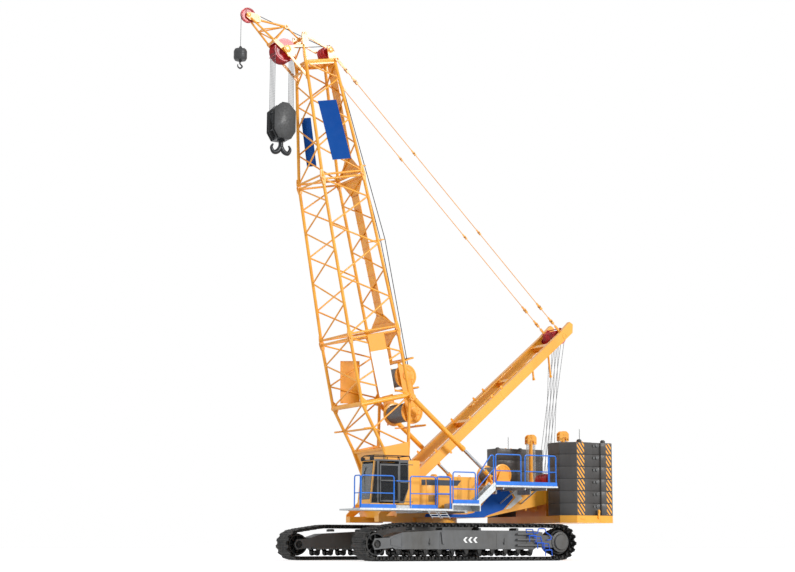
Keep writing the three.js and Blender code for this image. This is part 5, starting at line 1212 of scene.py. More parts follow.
def boomBase():
    s, bm = boomShape, bmesh.new()
    half, front, back = s.full
    drumTop = 5.08
    share = (drumTop - s.heavy) / (s.base - s.heavy)
    addLattice(bm, baseSection, [(leftFace, 3, 1, None), (rightFace, 3, 1, None), (frontFace, 3, 1, None),
        (backFace, 1, 1, share)], (s.chord, s.gap))
    ring = chordsAt(baseSection, share)
    addTube(bm, ring["BL"], ring["BR"], s.strut, 12)
    addJointLugs(bm, baseSection, 1, 1)
    for side in (-1, 1):
        y = side * half
        addTube(bm, (s.heavy + 0.02, y, front), (s.plate - 0.05, y, s.plateFront), s.chord, 16)
        addTube(bm, (s.heavy + 0.02, y, back), (s.plate - 0.05, y, s.plateBack), s.chord, 16)
        addTubeZ(bm, s.heavy, y, front - 0.06, back + 0.06, s.frameTube, 16)
        addTube(bm, (s.heavy, y, back), (s.mid, y, s.midFront), s.lace, 10)
        addTube(bm, (s.mid, y, s.midFront), (s.plate, y, s.plateBack), s.lace, 10)
        # gussets in the corners of the heavy frame
        for z, way in ((front, 1), (back, -1)):
            addPlate(bm, [(s.heavy + 0.02, z), (s.heavy + 0.34, z), (s.heavy + 0.02, z + way * 0.30)],
                y - 0.012, y + 0.012)
            addPlate(bm, [(s.heavy - 0.02, z), (s.heavy - 0.30, z + way * 0.10),
                (s.heavy - 0.02, z + way * 0.24)], y - 0.012, y + 0.012)
        # drum brackets with a stiffening edge
        inner = side * 0.84
        bracket = [(2.70, back - 0.06), (5.11, back - 0.06), (4.65, 1.47), (2.92, 1.47)]
        addPlate(bm, bracket, inner - 0.02, inner + 0.02)
        for a, b in zip(bracket[1:], bracket[2:] + bracket[:1]):
            addTube(bm, (a[0], inner, a[1]), (b[0], inner, b[1]), 0.03, 8)
        for along in (4.49, 3.08):
            addTurned(bm, (along, inner + side * 0.02, 1.32), [(0, 0), (0, 0.19), (side * 0.03, 0.18),
                (side * 0.035, 0.11), (side * 0.05, 0.1), (side * 0.05, 0)], 24)
        addTubeY(bm, 3.64, side * (half + 0.02), side * 1.475, back, 0.048, 16)
        addTubeY(bm, 3.64, side * (half + 0.02), side * (half + 0.10), back, 0.085, 16)
        addTubeY(bm, 3.64, side * 1.462, side * 1.49, back, 0.066, 16)
        # bottom lacing stubs that stick out past the chord, as rope guides do
        addTube(bm, (s.mid + 0.02, y, s.midFront), (s.mid + 0.05, y + side * 0.02, s.midFront - 0.42), 0.036,
            10)
    for x, z, radius in ((s.heavy, front, s.frameTube), (s.heavy, back, s.frameTube),
            (s.mid, s.midFront, s.strut), (s.plate, s.plateFront, s.chord)):
        addTubeY(bm, x, -half, half, z, radius, 14)
    addTube(bm, (s.heavy, half, front), (s.mid, -half, s.midFront), s.lace, 10)
    addTube(bm, (s.mid, half, s.midFront), (s.plate, -half, s.plateFront), s.strut, 12)
    # guide roller arms behind each drum
    for along, reach in ((3.08, -0.62), (4.49, -0.52), (4.49, 0.66)):
        for side in (-1, 1):
            addTube(bm, (along + reach * 0.9, side * 0.80, 1.30), (along + reach, side * 0.80, 1.74), 0.03,
                8)
        addTubeY(bm, along + reach, -0.84, 0.84, 1.74, 0.042, 12)
    return bm


def boomFoot():
    # plated foot: side plates with bosses, and the heavy plate between the chords
    s, bm = boomShape, bmesh.new()
    half = s.full[0]
    for side in (-1, 1):
        y = side * half
        outline = [(s.plate + 0.09, s.plateFront - 0.06), (s.plate + 0.09, s.plateBack + 0.05), (0.3, 0.2),
            (-0.06, 0.15), (-0.15, 0.0), (-0.06, -0.15), (0.3, -0.2)]
        addPlate(bm, outline, y - 0.052, y + 0.052)
        for a, b in ((0, 6), (1, 2)):
            p, q = outline[a], outline[b]
            addTube(bm, (p[0], y, p[1]), (q[0], y, q[1]), 0.058, 14)
        for edge in (-1, 1):
            addTurned(bm, (0, y + edge * 0.0535, 0), [(0, 0.125), (edge * 0.005, 0.12),
                (edge * 0.0055, 0.062), (0, 0.062)], 28)
    addBox(bm, (s.plate - 0.62, -half, s.plateBack - 0.14), (s.plate, half, s.plateBack - 0.09))
    addBox(bm, (s.plate - 0.02, -half, s.plateBack - 0.26), (s.plate + 0.02, half, s.plateBack - 0.02))
    addPlate(bm, [(s.plate - 0.62, s.plateFront + 0.12), (s.plate, s.plateFront - 0.02),
        (s.plate, s.plateFront + 0.03), (s.plate - 0.62, s.plateFront + 0.17)], -half, half)
    return bm


def addPlank(bm, section, inset, wideLow, wideHigh):
    # folded walking plank along the back, wide where it meets a section joint
    span = section[1] - section[0]
    x0, x1 = section[0] + inset[0] - 0.04, section[1] - inset[1] + 0.04
    at = lambda x: chordsAt(section, (x - section[0]) / span)["BL"]
    lift, thick, slim = boomShape.strut - 0.008, 0.008, 0.265
    stations = [(x0, at(x0).y - 0.102 if wideLow else slim)]
    stations += [(x0 + wideLow, slim)] if wideLow else []
    stations += [(x1 - wideHigh, slim)] if wideHigh else []
    stations.append((x1, at(x1).y - 0.102 if wideHigh else slim))
    for (xa, wa), (xb, wb) in zip(stations, stations[1:]):
        za, zb = at(xa).z + lift, at(xb).z + lift
        for v in addPlate(bm, [(xa, -wa), (xb, -wb), (xb, wb), (xa, wa)], 0, thick, "Z"):
            v.co.z += mix(za, zb, (v.co.x - xa) / (xb - xa))
        for side in (-1, 1):
            addTube(bm, (xa, side * wa, za + 0.012), (xb, side * wb, zb + 0.012), 0.016, 6)
        ribs = max(2, int((xb - xa) / 0.5))
        for i in range(ribs + 1):
            x = mix(xa, xb, i / ribs)
            wide, z = mix(wa, wb, i / ribs), mix(za, zb, i / ribs)
            addBox(bm, (x - 0.012, -wide + 0.01, z - 0.03), (x + 0.012, wide - 0.01, z + 0.002))


makePiece("boom_base_tubes", boomBase(), "boomTubePaint", "boom", "boom_base")
makePiece("boom_foot_plates", boomFoot(), "glossYellowPaint", "boom", "boom_base")
bm = bmesh.new()
addLattice(bm, insertSection, [(leftFace, 6, 1.45, None), (("BR", "FR"), 6, 1.45, None),
    (("FR", "FL"), 6, 1.45, None), (backFace, 6, 1.45, None)], (boomShape.gap, boomShape.gap))
addJointLugs(bm, insertSection, 1, 1)
addJointLugs(bm, insertSection, 0, -1)
makePiece("boom_insert_tubes", bm, "boomTubePaint", "boom", "boom_insert")
bm = bmesh.new()
addLattice(bm, topSection, [(face, 5, 1.8, None) for face in (leftFace, rightFace, frontFace, backFace)],
    (boomShape.gap, 0.04))
addJointLugs(bm, topSection, 0, -1)
makePiece("boom_top_tubes", bm, "boomTubePaint", "boom", "boom_top")
bm = bmesh.new()
addPlank(bm, (5.08, boomShape.base - 0.001, boomShape.full, boomShape.full), (0, boomShape.gap), 0, 0.56)
addPlank(bm, insertSection, (boomShape.gap, boomShape.gap), 0.62, 0.7)
addPlank(bm, topSection, (boomShape.gap, 0.04), 0.7, 0)
makePiece("boom_back_plank", bm, "boomTubePaint", "boom")
print("boom lattice made")

headShape = Settings(sheave=(17.9, -1.1), guide=(17.76, 0.8), tip=(19.42, -2.31), half=0.43)


def boomHead():
    h, bm = headShape, bmesh.new()
    end, front, back = boomShape.head, boomShape.top[1], boomShape.top[2]
    gx, gz = h.guide
    sx, sz = h.sheave
    for side in (-1, 1):
        y = side * h.half
        ear = [(end - 0.12, front - 0.06), (end - 0.12, back + 0.06), (end + 0.06, back + 0.12),
            (gx + 0.14, gz + 0.06), (gx + 0.16, gz - 0.12), (end + 1.08, -0.12), (end + 1.2, -0.17),
            (end + 1.21, -0.29), (end + 1.1, -0.34), (end + 0.3, front - 0.06)]
        nose = [(end - 0.7, front - 0.04), (end - 0.25, front - 0.33), (sx - 0.12, sz - 0.09),
            (sx + 0.11, sz - 0.11), (sx + 0.13, sz + 0.12), (end + 0.7, front + 0.04),
            (end + 0.2, front + 0.1)]
        # open frames of box bars along the plates' outlines, closed by thinner webs at their ends
        for outline, thick in ((ear, 0.03), (nose, 0.03)):
            middle = Vector((sum(p[0] for p in outline) / len(outline),
                sum(p[1] for p in outline) / len(outline)))
            for a, b in zip(outline, outline[1:] + outline[:1]):
                a, b = Vector(a), Vector(b)
                along = (b - a).normalized()
                inwards = Vector((-along.y, along.x))
                if inwards.dot(middle - (a + b) / 2) < 0:
                    inwards = -inwards
                strip = [a, b, b + inwards * 0.09 - along * 0.02, a + inwards * 0.09 + along * 0.02]
                addPlate(bm, [tuple(p) for p in strip], y - thick, y + thick)
        addPlate(bm, [(end + 0.86, -0.10), (end + 1.2, -0.17), (end + 1.21, -0.29), (end + 1.1, -0.34),
            (end + 0.78, -0.34)], y - 0.028, y + 0.028)
        addPlate(bm, [(gx - 0.33, gz + 0.14), (gx + 0.14, gz + 0.04), (gx + 0.15, gz - 0.12),
            (gx - 0.42, gz - 0.14)], y - 0.028, y + 0.028)
        addPlate(bm, [(sx - 0.30, sz), (sx - 0.11, sz - 0.09), (sx + 0.1, sz - 0.1), (sx + 0.12, sz + 0.12),
            (sx - 0.02, sz + 0.40), (sx - 0.32, sz + 0.26)], y - 0.028, y + 0.028)
        addTube(bm, (end - 0.62, y, front - 0.08), (end + 0.66, y, front + 0.02), 0.05, 14)
        addTubeZ(bm, end + 0.02, y, front, back, 0.058, 14)
        # flanged bearing caps with bolts
        for x, z, size in ((sx, sz, 0.15), (gx, gz, 0.11)):
            start = y + side * 0.031
            addTurned(bm, (x, start, z), [(0, 0), (0, size), (side * 0.025, size),
                (side * 0.03, size * 0.72), (side * 0.06, size * 0.7), (side * 0.065, size * 0.4),
                (side * 0.065, 0)], 32)
            for px, pz in around(8, x, z, size * 0.85):
                addTubeY(bm, px, start + side * 0.02, start + side * 0.038, pz, 0.012, 6)
        # pendant anchor and ear hole collar
        addTubeY(bm, end, side * (h.half + 0.02), side * 0.513, back + 0.06, 0.045, 14)
        addTurned(bm, (end + 1.13, y + side * 0.029, -0.24), [(0, 0.075), (side * 0.012, 0.07),
            (side * 0.012, 0.042), (0, 0.042)], 24)
        addTubeY(bm, sx + 0.06, side * 0.41, side * 0.45, sz + 0.06, 0.07, 16)
    for x, z, radius in ((end, front, 0.06), (end + 1.0, -0.25, 0.045), (end - 0.38, front - 0.19, 0.045),
            (end + 0.02, back, 0.05), (gx - 0.32, gz + 0.16, 0.03), (gx + 0.14, gz + 0.05, 0.03)):
        addTubeY(bm, x, -h.half, h.half, z, radius, 14)
    # floor plate and cross bracing of the head
    addBox(bm, (end - 0.05, -0.40, front + 0.05), (end - 0.02, 0.40, 0.35))
    addTube(bm, (end + 0.30, -0.42, front), (end + 1.0, 0.42, -0.25), 0.03, 10)
    addTube(bm, (end + 0.02, -0.42, 0.42), (end + 0.02, 0.42, front + 0.1), 0.03, 10)
    return bm


def addSheaves(bm, x, z, radius, width, count, hub):
    # grooved sheaves side by side, with dished webs and hubs
    each = width / count
    for i in range(count):
        y = -width / 2 + each * (i + 0.5)
        t = each * 0.44
        addTurned(bm, (x, y, z), [(-t, radius), (-t * 0.25, radius * 0.885), (t * 0.25, radius * 0.885),
            (t, radius), (t * 1.02, radius * 0.97), (t * 0.9, radius * 0.86), (t * 0.35, radius * 0.8),
            (t * 0.35, radius * 0.4), (t * 1.05, radius * 0.36), (t * 1.05, hub), (-t * 1.05, hub),
            (-t * 1.05, radius * 0.36), (-t * 0.35, radius * 0.4), (-t * 0.35, radius * 0.8),
            (-t * 0.9, radius * 0.86), (-t * 1.02, radius * 0.97), (-t, radius)], 48)


def addGuard(bm, x, z, radius, half, start, end):
    # curved sheet round a sheave pack, from one angle to another
    inner, outer = (around(19, x, z, reach, start, end) for reach in (radius, radius + 0.006))
    addPlate(bm, inner + outer[::-1], -half, half)


makePiece("boom_head_frame", boomHead(), "glossYellowPaint", "boom", "boom_top")
bm = bmesh.new()
addSheaves(bm, *headShape.guide, 0.24, 0.56, 3, 0.062)
makePiece("guide_sheave_pack", bm, "sheaveRedPaint", "boom", "guide_sheaves")
bm = bmesh.new()
addTubeY(bm, headShape.guide[0], -0.4, 0.4, headShape.guide[1], 0.058, 20)
addGuard(bm, *headShape.guide, 0.262, 0.27, 20, 100)
makePiece("guide_sheave_axle", bm, "glossYellowPaint", "boom", "guide_sheaves")


def tipJib():
    bm = bmesh.new()
    sx, sz = headShape.sheave
    tx, tz = headShape.tip
    root = (sx + 0.395, sz - 0.395)
    apex = Vector((tx - 0.52, 0, sz + 0.36))
    tip = Settings(chord=0.04, lace=0.026)
    for side in (-1, 1):
        foot, nose = Vector((root[0], side * 0.3, root[1])), Vector((tx - 0.12, side * 0.1, tz + 0.06))
        addTube(bm, foot, nose, tip.chord, 14)
        addTube(bm, foot, apex, tip.lace, 10)
        addTube(bm, foot.lerp(nose, 0.5), apex, tip.lace, 10)
        other = Vector((root[0], -side * 0.3, root[1])).lerp(Vector((tx - 0.12, -side * 0.1, tz + 0.06)),
            0.5)
        if side > 0:
            addTube(bm, foot.lerp(nose, 0.5), other, tip.lace, 10)
            addTube(bm, foot, other, tip.lace, 10)
        cheek = [(tx - 0.33, tz + 0.42), (tx - 0.2, tz + 0.02), (tx - 0.06, tz - 0.11),
            (tx + 0.11, tz - 0.06), (tx + 0.08, tz + 0.18), (tx - 0.06, tz + 0.48)]
        addPlate(bm, cheek, side * 0.088 - 0.012, side * 0.088 + 0.012)
        addTurned(bm, (tx, side * 0.1005, tz), [(0, 0), (0, 0.085), (side * 0.03, 0.08),
            (side * 0.035, 0.05), (side * 0.035, 0)], 24)
        hanger = [(sx - 0.09, sz - 0.06), (sx, sz + 0.11), (root[0] + 0.07, root[1] + 0.06),
            (root[0] + 0.03, root[1] - 0.07), (root[0] - 0.06, root[1] - 0.04)]
        addPlate(bm, hanger, side * 0.315 - 0.014, side * 0.315 + 0.014)
    addTube(bm, (tx - 0.2, 0, tz + 0.43), apex, 0.042, 14)
    addBox(bm, (tx - 0.32, -0.112, tz + 0.4), (tx - 0.07, 0.112, tz + 0.46))
    addTubeY(bm, root[0], -0.31, 0.31, root[1], 0.045, 14)
    stay = Vector((boomShape.head + 1.0, 0, -0.25))
    addTube(bm, apex, stay + (apex - stay).normalized() * 0.10, 0.034, 12)
    for at in (apex, stay):
        ring = [(0, 0.048), (0, 0.09), (0.12, 0.09), (0.12, 0.048), (0, 0.048)]
        addTurned(bm, at - Vector((0, 0.06, 0)), ring, 20)
    return bm


makePiece("tip_jib_tubes", tipJib(), "boomTubePaint", "boom", "tip_jib")
print("boom head made")

drumShape = Settings(flange=0.48, barrel=0.3, half=0.75, rope=0.014, flangeThick=0.05)


def ropeDrum(x, z, d, place, name, node, body):
    # grooved drum full of rope, with bolted flanges and a hub standing out at each end
    bm = bmesh.new()
    rope = d.rope
    layer = d.barrel + rope * 5
    profile = [(-d.half + d.flangeThick, d.barrel * 0.9)]
    turns = int(2 * (d.half - d.flangeThick) / (rope * 2))
    for i in range(turns):
        y = -d.half + d.flangeThick + rope * (2 * i + 1)
        profile += [(y - rope * 0.9, layer - rope * 0.7), (y - rope * 0.45, layer + rope * 0.05),
            (y + rope * 0.45, layer + rope * 0.05)]
    profile.append((d.half - d.flangeThick, d.barrel * 0.9))
    addTurned(bm, (x, 0, z), profile, 36)
    makePiece(f"{name}_rope", bm, "greasedWireRope", body, smooth=60)
    bm = bmesh.new()
    f, h, t = d.flange, d.half, d.flangeThick
    for side in (-1, 1):
        addTurned(bm, (x, 0, z), [(side * (h - t), d.barrel * 0.88), (side * (h - t), f - 0.012),
            (side * (h - t + 0.008), f), (side * (h - 0.008), f), (side * h, f - 0.012),
            (side * h, f * 0.86), (side * (h - 0.018), f * 0.84), (side * (h - 0.018), f * 0.46),
            (side * h, f * 0.44), (side * (h + 0.055), f * 0.36), (side * (h + 0.06), 0.10),
            (side * (h + 0.085), 0.09), (side * (h + 0.085), 0.0)], 48)
        for px, pz in around(12, x, z, f * 0.65):
            addTubeY(bm, px, side * (h - 0.02), side * (h + 0.004), pz, 0.018, 8)
        for i in range(6):
            turn = Matrix.Rotation(math.tau * i / 6, 4, "Y")
            mid = Matrix.Translation((x, side * (h - 0.006), z)) @ turn @ Matrix.Translation((f * 0.65, 0,
                0))
            bmesh.ops.create_cube(bm, size=1, matrix=mid @ Matrix.Diagonal((f * 0.38, 0.022, 0.016, 1)))
    makePiece(f"{name}_drum", bm, "glossYellowPaint", body, node)


ropeDrum(4.49, 1.32, drumShape, alongBoom, "main_hoist", "main_winch", "boom")
ropeDrum(3.08, 1.32, drumShape, alongBoom, "aux_hoist", "aux_winch", "boom")
print("winches made")

# sign boards, all blank: board outline along and across, which side, and the finish
boards = (
    ("danger_board_top", [(6.32, -0.34), (6.33, 0.40), (5.66, 0.40), (5.66, -0.325)], 1.262,
        "signYellowFilm", "yellow_paint"),
    ("danger_board_text", [(5.655, -0.325), (5.655, 0.40), (3.93, 0.40), (3.88, -0.28)], 1.262,
        "decalWhiteFilm", "walkway_grey"),
    ("far_danger_board", [(5.55, -0.34), (5.42, 0.5), (3.77, 0.16), (3.91, -0.68)], -1.262, "signYellowFilm",
        "yellow_paint"),
    # the name boards' blue is drawn darker than the frame stripe's, as painted shade against their sheen in
    # the light
    ("name_board_near", [(15.7, -0.31), (15.7, 0.51), (13.27, 0.51), (13.27, -0.31)], 1.0, "boardBlueEnamelDarkenedForLight",
        "rail_blue"),
    ("name_board_far", [(15.35, -0.41), (15.35, 0.02), (13.42, 0.02), (13.42, -0.41)], -1.0,
        "boardBlueEnamelDarkenedForLight", "rail_blue"),
)
for name, outline, y, finishName, slotName in boards:
    bm = bmesh.new()
    if abs(y) == 1.0:
        # follows the tapering side of the boom top, just outside its lacing
        side = 1 if y > 0 else -1
        verts = addPlate(bm, outline, -0.004, 0.004)
        for v in verts:
            t = (v.co.x - boomShape.insert) / (boomShape.head - boomShape.insert)
            v.co.y += side * (mix(boomShape.neck[0], boomShape.top[0], t) + 0.05)
    else:
        addPlate(bm, outline, y - 0.004, y + 0.004)
        for a, b in zip(outline, outline[1:] + outline[:1]):
            addTube(bm, (a[0], y, a[1]), (b[0], y, b[1]), 0.009, 6)
        side = 1 if y > 0 else -1
        for p in outline:
            inward = (p[0] * 0.97 + 0.15, p[1] * 0.85)
            addTubeY(bm, inward[0], y, side * 1.21, inward[1], 0.014, 6)
    makePiece(name, bm, finishName, "boom", slotName=slotName)
print("boards made")

# mast: two box beams with edge flanges, cross members and the sheaves at its top
mastShape = Settings(half=0.69, width=0.2, top=-0.19, bottom=0.19, length=11.15, cross=(1.9, 4.6, 7.3, 9.7),
    sheave=(10.5, 0.06), pendant=(10.56, -0.12))


def mastBeams():
    m, bm = mastShape, bmesh.new()
    for side in (-1, 1):
        y = side * m.half
        outline = [(-0.14, -0.07), (-0.14, 0.07), (0.15, 0.14), (0.7, m.bottom), (m.length - 0.25, m.bottom),
            (m.length, m.top + 0.12), (m.length - 0.06, m.top - 0.06), (m.length - 0.8, m.top), (0.7, m.top),
            (0.15, -0.14)]
        addPlate(bm, outline, y - m.width / 2 + 0.004, y + m.width / 2 - 0.004)
        # flanges that stand a little proud along the upper and lower edges
        for z in (m.top, m.bottom):
            way = 1 if z > 0 else -1
            addBox(bm, (0.72, y - m.width / 2, z - 0.012 if way > 0 else z - 0.001),
                (m.length - 0.82, y + m.width / 2, z + 0.001 if way > 0 else z + 0.012))
        # splice seams, lugs and pin bosses
        for x in (3.35, 6.35):
            addBox(bm, (x - 0.005, y - m.width / 2 - 0.001, m.top + 0.01),
                (x + 0.005, y + m.width / 2 + 0.001, m.bottom - 0.01))
        for x, z in ((2.3, m.bottom), (3.0, m.bottom), (2.5, m.top), (4.6, m.top), (6.0, m.top),
                (6.6, m.top)):
            way = 1 if z > 0 else -1
            addPlate(bm, [(x - 0.06, z), (x + 0.06, z), (x + 0.03, z + way * 0.12),
                (x - 0.03, z + way * 0.12)], y - 0.012, y + 0.012)
        for edge in (-1, 1):
            start = y + edge * m.width / 2
            for x, z, r in ((0, 0, 0.12), (*m.sheave, 0.13)):
                ring = [(0, 0.061), (0, r), (edge * 0.012, r * 0.96), (edge * 0.012, 0.061), (0, 0.061)]
                addTurned(bm, (x, start - edge * 0.004, z), ring, 24)
        inner = side * (m.half - m.width / 2 + 0.01)
        addTubeY(bm, m.pendant[0], inner, side * 0.566, m.pendant[1], 0.045, 16)
        addTubeY(bm, m.pendant[0], side * 0.574, inner, m.pendant[1], 0.07, 16)
    reach = m.half - m.width / 2 + 0.01
    for x in m.cross:
        addBox(bm, (x - 0.09, -reach, m.top + 0.07), (x + 0.09, reach, m.top + 0.085))
        addBox(bm, (x - 0.09, -reach, m.bottom - 0.085), (x + 0.09, reach, m.bottom - 0.07))
        addBox(bm, (x - 0.008, -reach, m.top + 0.08), (x + 0.008, reach, m.bottom - 0.08))
        for side in (-1, 1):
            inner = side * (reach - 0.01)
            addPlate(bm, [(x - 0.09, m.top + 0.078), (x - 0.30, m.top + 0.02), (x + 0.30, m.top + 0.02),
                (x + 0.09, m.top + 0.078)], inner, inner - side * 0.012)
    # rope guide cylinders along the upper face, and the stops under the top
    for side in (-1, 1):
        y = side * 0.46
        addTubeX(bm, 7.8, 5.6, y, m.top + 0.02, 0.04, 14)
        addTubeX(bm, 7.75, 8.3, y, m.top + 0.02, 0.024, 12)
        for x in (5.62, 7.72, 8.3):
            addBox(bm, (x - 0.04, min(y, side * 0.595), m.top), (x + 0.04, max(y, side * 0.595),
                m.top + 0.06))
        addTube(bm, (9.4, side * 0.62, m.bottom - 0.02), (8.9, side * 0.62, m.bottom + 0.72), 0.042, 12)
        addTube(bm, (8.9, side * 0.62, m.bottom + 0.72), (8.86, side * 0.62, m.bottom + 0.80), 0.06, 12)
    return bm


makePiece("mast_beams", mastBeams(), "glossYellowPaint", "mast", "mast")
bm = bmesh.new()
addSheaves(bm, *mastShape.sheave, 0.30, 0.86, 7, 0.062)
makePiece("mast_sheave_pack", bm, "sheaveRedPaint", "mast", "mast_sheaves")
bm = bmesh.new()
sx, sz = mastShape.sheave
addTubeY(bm, sx, -0.6, 0.6, sz, 0.058, 20)
for y in (-0.46, 0.46):
    addPlate(bm, [(sx - 0.36, sz - 0.13), (sx + 0.22, sz - 0.33), (sx + 0.30, sz - 0.2),
        (sx + 0.08, sz + 0.12), (sx - 0.3, sz + 0.14)], y - 0.01, y + 0.01)
for x, z in ((sx - 0.33, sz), (sx + 0.26, sz - 0.26), (sx - 0.12, sz - 0.335)):
    addTubeY(bm, x, -0.47, 0.47, z, 0.022, 10)
makePiece("mast_sheave_frame", bm, "sheaveRedPaint", "mast", "mast_sheaves")
print("mast made")

# pendants: eye bars joined by clevis links, from the boom head to the mast
pendantShape = Settings(y=0.54, rod=0.016, low=(17.35, 0.97), half=0.024)


def onArm(arm, x, z, y=0.0):
    return arm @ Vector((x, y, z))


def addClevis(bm, centre, along, across, size):
    # two cheeks with a pin, and the flat eye between them
    for way in (-1, 1):
        mid = centre + across * way * size * 0.62
        addTube(bm, mid - across * size * 0.16, mid + across * size * 0.16, size * 1.0, 12)
        start, end = mid - along * size * 0.2, mid + along * size * 3.2
        place = Matrix.Translation((start + end) / 2) @ Matrix((along, across,
            along.cross(across))).transposed().to_4x4()
        bmesh.ops.create_cube(bm, size=1, matrix=place @ Matrix.Diagonal(((end - start).length, size * 0.32,
            size * 1.5, 1)))
    addTube(bm, centre - across * size * 1.05, centre + across * size * 1.05, size * 0.42, 10)
    place = Matrix.Translation(centre - along * size * 1.6) @ Matrix((along, across,
        along.cross(across))).transposed().to_4x4()
    bmesh.ops.create_cube(bm, size=1, matrix=place @ Matrix.Diagonal((size * 3.4, size * 0.7, size * 1.3,
        1)))


for side, label in sides:
    bm = bmesh.new()
    top = onArm(alongBoom, *pendantShape.low, side * pendantShape.y)
    low = onArm(alongMast, *mastShape.pendant, side * pendantShape.y)
    along = (low - top).normalized()
    across = Vector((0, 1, 0))
    length = (low - top).length
    addTube(bm, top + along * 0.1, low - along * 0.1, pendantShape.rod, 10)
    for at, way in ((top, 1), (low, -1)):
        addTurned(bm, at - across * pendantShape.half, [(0, 0.047), (0, 0.085), (0.048, 0.085),
            (0.048, 0.047), (0, 0.047)], 20)
        place = Matrix.Translation(at + along * way * 0.22) @ Matrix((along, across,
            along.cross(across))).transposed().to_4x4()
        bmesh.ops.create_cube(bm, size=1, matrix=place @ Matrix.Diagonal((0.30, 0.04, 0.09, 1)))
    for share in (0.035, 0.075, 0.33, 0.62, 0.9, 0.955):
        addClevis(bm, top + along * length * share, along, across, 0.042 if share in (0.33, 0.62) else 0.055)
    makePiece(f"pendant_bars_{label}", bm, "boomTubePaint", "boom", f"pendant_{label}", place=asDrawn)
print("pendants made")

# backstops: tube on the boom, bright rod with an eye by the upper frame
stopShape = Settings(y=1.39, top=(3.64, 1.066), foot=(-2.3, 3.2), barrel=0.105, rod=0.07, barrelEnd=3.05,
    rodStart=0.48)
for side, label in sides:
    k = stopShape
    top = onArm(alongBoom, *k.top, side * k.y)
    low = Vector((k.foot[0] + slewX, side * k.y, k.foot[1]))
    along = (low - top).normalized()
    reach = (low - top).length
    bm = bmesh.new()
    addTube(bm, top + along * 0.16, top + along * (k.barrelEnd - 0.06), k.barrel * 0.92, 24)
    for a, b, r in ((0.14, 0.24, 0.105), (k.barrelEnd - 0.14, k.barrelEnd, 0.105),
            (k.barrelEnd * 0.55, k.barrelEnd * 0.56, 0.101)):
        addTube(bm, top + along * a, top + along * b, r, 24)
    addTurned(bm, top - Vector((0, 0.065, 0)), [(0, 0.05), (0, 0.13), (0.13, 0.13), (0.13, 0.05), (0, 0.05)],
        28)
    addTube(bm, top + along * 0.09, top + along * 0.18, 0.075, 16)
    makePiece(f"backstop_tube_{label}", bm, "glossYellowPaint", f"backstop_barrel_{label}",
        f"backstop_barrel_{label}")
    bm = bmesh.new()
    addTube(bm, top + along * k.rodStart, low - along * 0.32, k.rod * 0.93, 24)
    makePiece(f"backstop_shaft_{label}", bm, "brightRodSteel", f"backstop_rod_{label}",
        f"backstop_rod_{label}")
    bm = bmesh.new()
    addTube(bm, low - along * 0.42, low - along * 0.10, 0.088, 20, 0.075)
    addTurned(bm, low - Vector((0, 0.065, 0)), [(0, 0.075), (0, 0.12), (0.13, 0.12), (0.13, 0.075),
        (0, 0.075)], 28)
    addTube(bm, low - along * 0.46, low - along * 0.42, 0.092, 20)
    makePiece(f"backstop_eye_{label}", bm, "glossYellowPaint", f"backstop_rod_{label}",
        f"backstop_rod_{label}")
print("backstops made")

# head sheaves hang plumb; ropes run from them to the hooks
hoistShape = Settings(head=(17.9, -1.1), radius=0.45, width=0.56, line=0.403, tip=(19.42, -2.31),
    tipRadius=0.297, tipLine=0.2798, blockDrop=2.02, auxDrop=1.3, rope=0.011)


def addGuardPlates(bm, x, z, radius, width, start, end):
    # closed side cheeks as sectors of a disc
    for y in (-width / 2, width / 2):
        addPlate(bm, [(x, z)] + around(13, x, z, radius, start, end), y - 0.006, y + 0.006)


head = onArm(alongBoom, *hoistShape.head)
tip = onArm(alongBoom, *hoistShape.tip)
bm = bmesh.new()
addSheaves(bm, head.x, head.z, hoistShape.radius, hoistShape.width, 5, 0.062)
addTubeY(bm, head.x, -0.40, 0.40, head.z, 0.058, 20)
makePiece("head_sheave_pack", bm, "sheaveRedPaint", "head_sheaves", "head_sheaves")
bm = bmesh.new()
addGuard(bm, head.x, head.z, hoistShape.radius + 0.012, 0.287, 35, 145)
addGuardPlates(bm, head.x, head.z, hoistShape.radius + 0.012, 0.58, 35, 145)
for turn in (-150, -30, 35, 145):
    r = hoistShape.radius + 0.03
    x, z = head.x + r * math.cos(math.radians(turn)), head.z + r * math.sin(math.radians(turn))
    addTubeY(bm, x, -0.295, 0.295, z, 0.018, 10)
makePiece("head_sheave_guard", bm, "sheaveRedPaint", "head_sheaves", "head_sheaves")
bm = bmesh.new()
addSheaves(bm, tip.x, tip.z, hoistShape.tipRadius, 0.11, 1, 0.062)
addTubeY(bm, tip.x, -0.1, 0.1, tip.z, 0.058, 20)
makePiece("tip_sheave_wheel", bm, "sheaveRedPaint", "tip_sheave", "tip_sheave")
bm = bmesh.new()
addGuard(bm, tip.x, tip.z, hoistShape.tipRadius - 0.002, 0.06, 60, 200)
for y in (-0.064, 0.064):
    for turn in (60, 130, 200):
        c, s = math.cos(math.radians(turn)), math.sin(math.radians(turn))
        addTube(bm, (tip.x + 0.10 * c, y, tip.z + 0.10 * s), (tip.x + 0.30 * c, y, tip.z + 0.30 * s), 0.006,
            6)
makePiece("tip_sheave_guard", bm, "sheaveRedPaint", "tip_sheave", "tip_sheave")

for label, side in (("rear", -1), ("front", 1)):
    for i in range(5):
        y = -0.28 + 0.112 * (i + 0.5)
        bm = bmesh.new()
        x = head.x + side * hoistShape.line
        start, end = Vector((x, y, head.z)), Vector((x, y, head.z - hoistShape.blockDrop - 0.42))
        addTube(bm, start, end, hoistShape.rope, 8)
        rope = makePiece(f"main_fall_{label}_{i}", bm, "greasedWireRope", None, "head_sheaves")
        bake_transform(rope)
bm = bmesh.new()
x = tip.x + hoistShape.tipLine
start, end = Vector((x, 0, tip.z)), Vector((x, 0, tip.z - hoistShape.auxDrop - 0.02))
addTube(bm, start, end, hoistShape.rope, 8)
rope = makePiece("aux_fall", bm, "greasedWireRope", None, "tip_sheave")
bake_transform(rope)

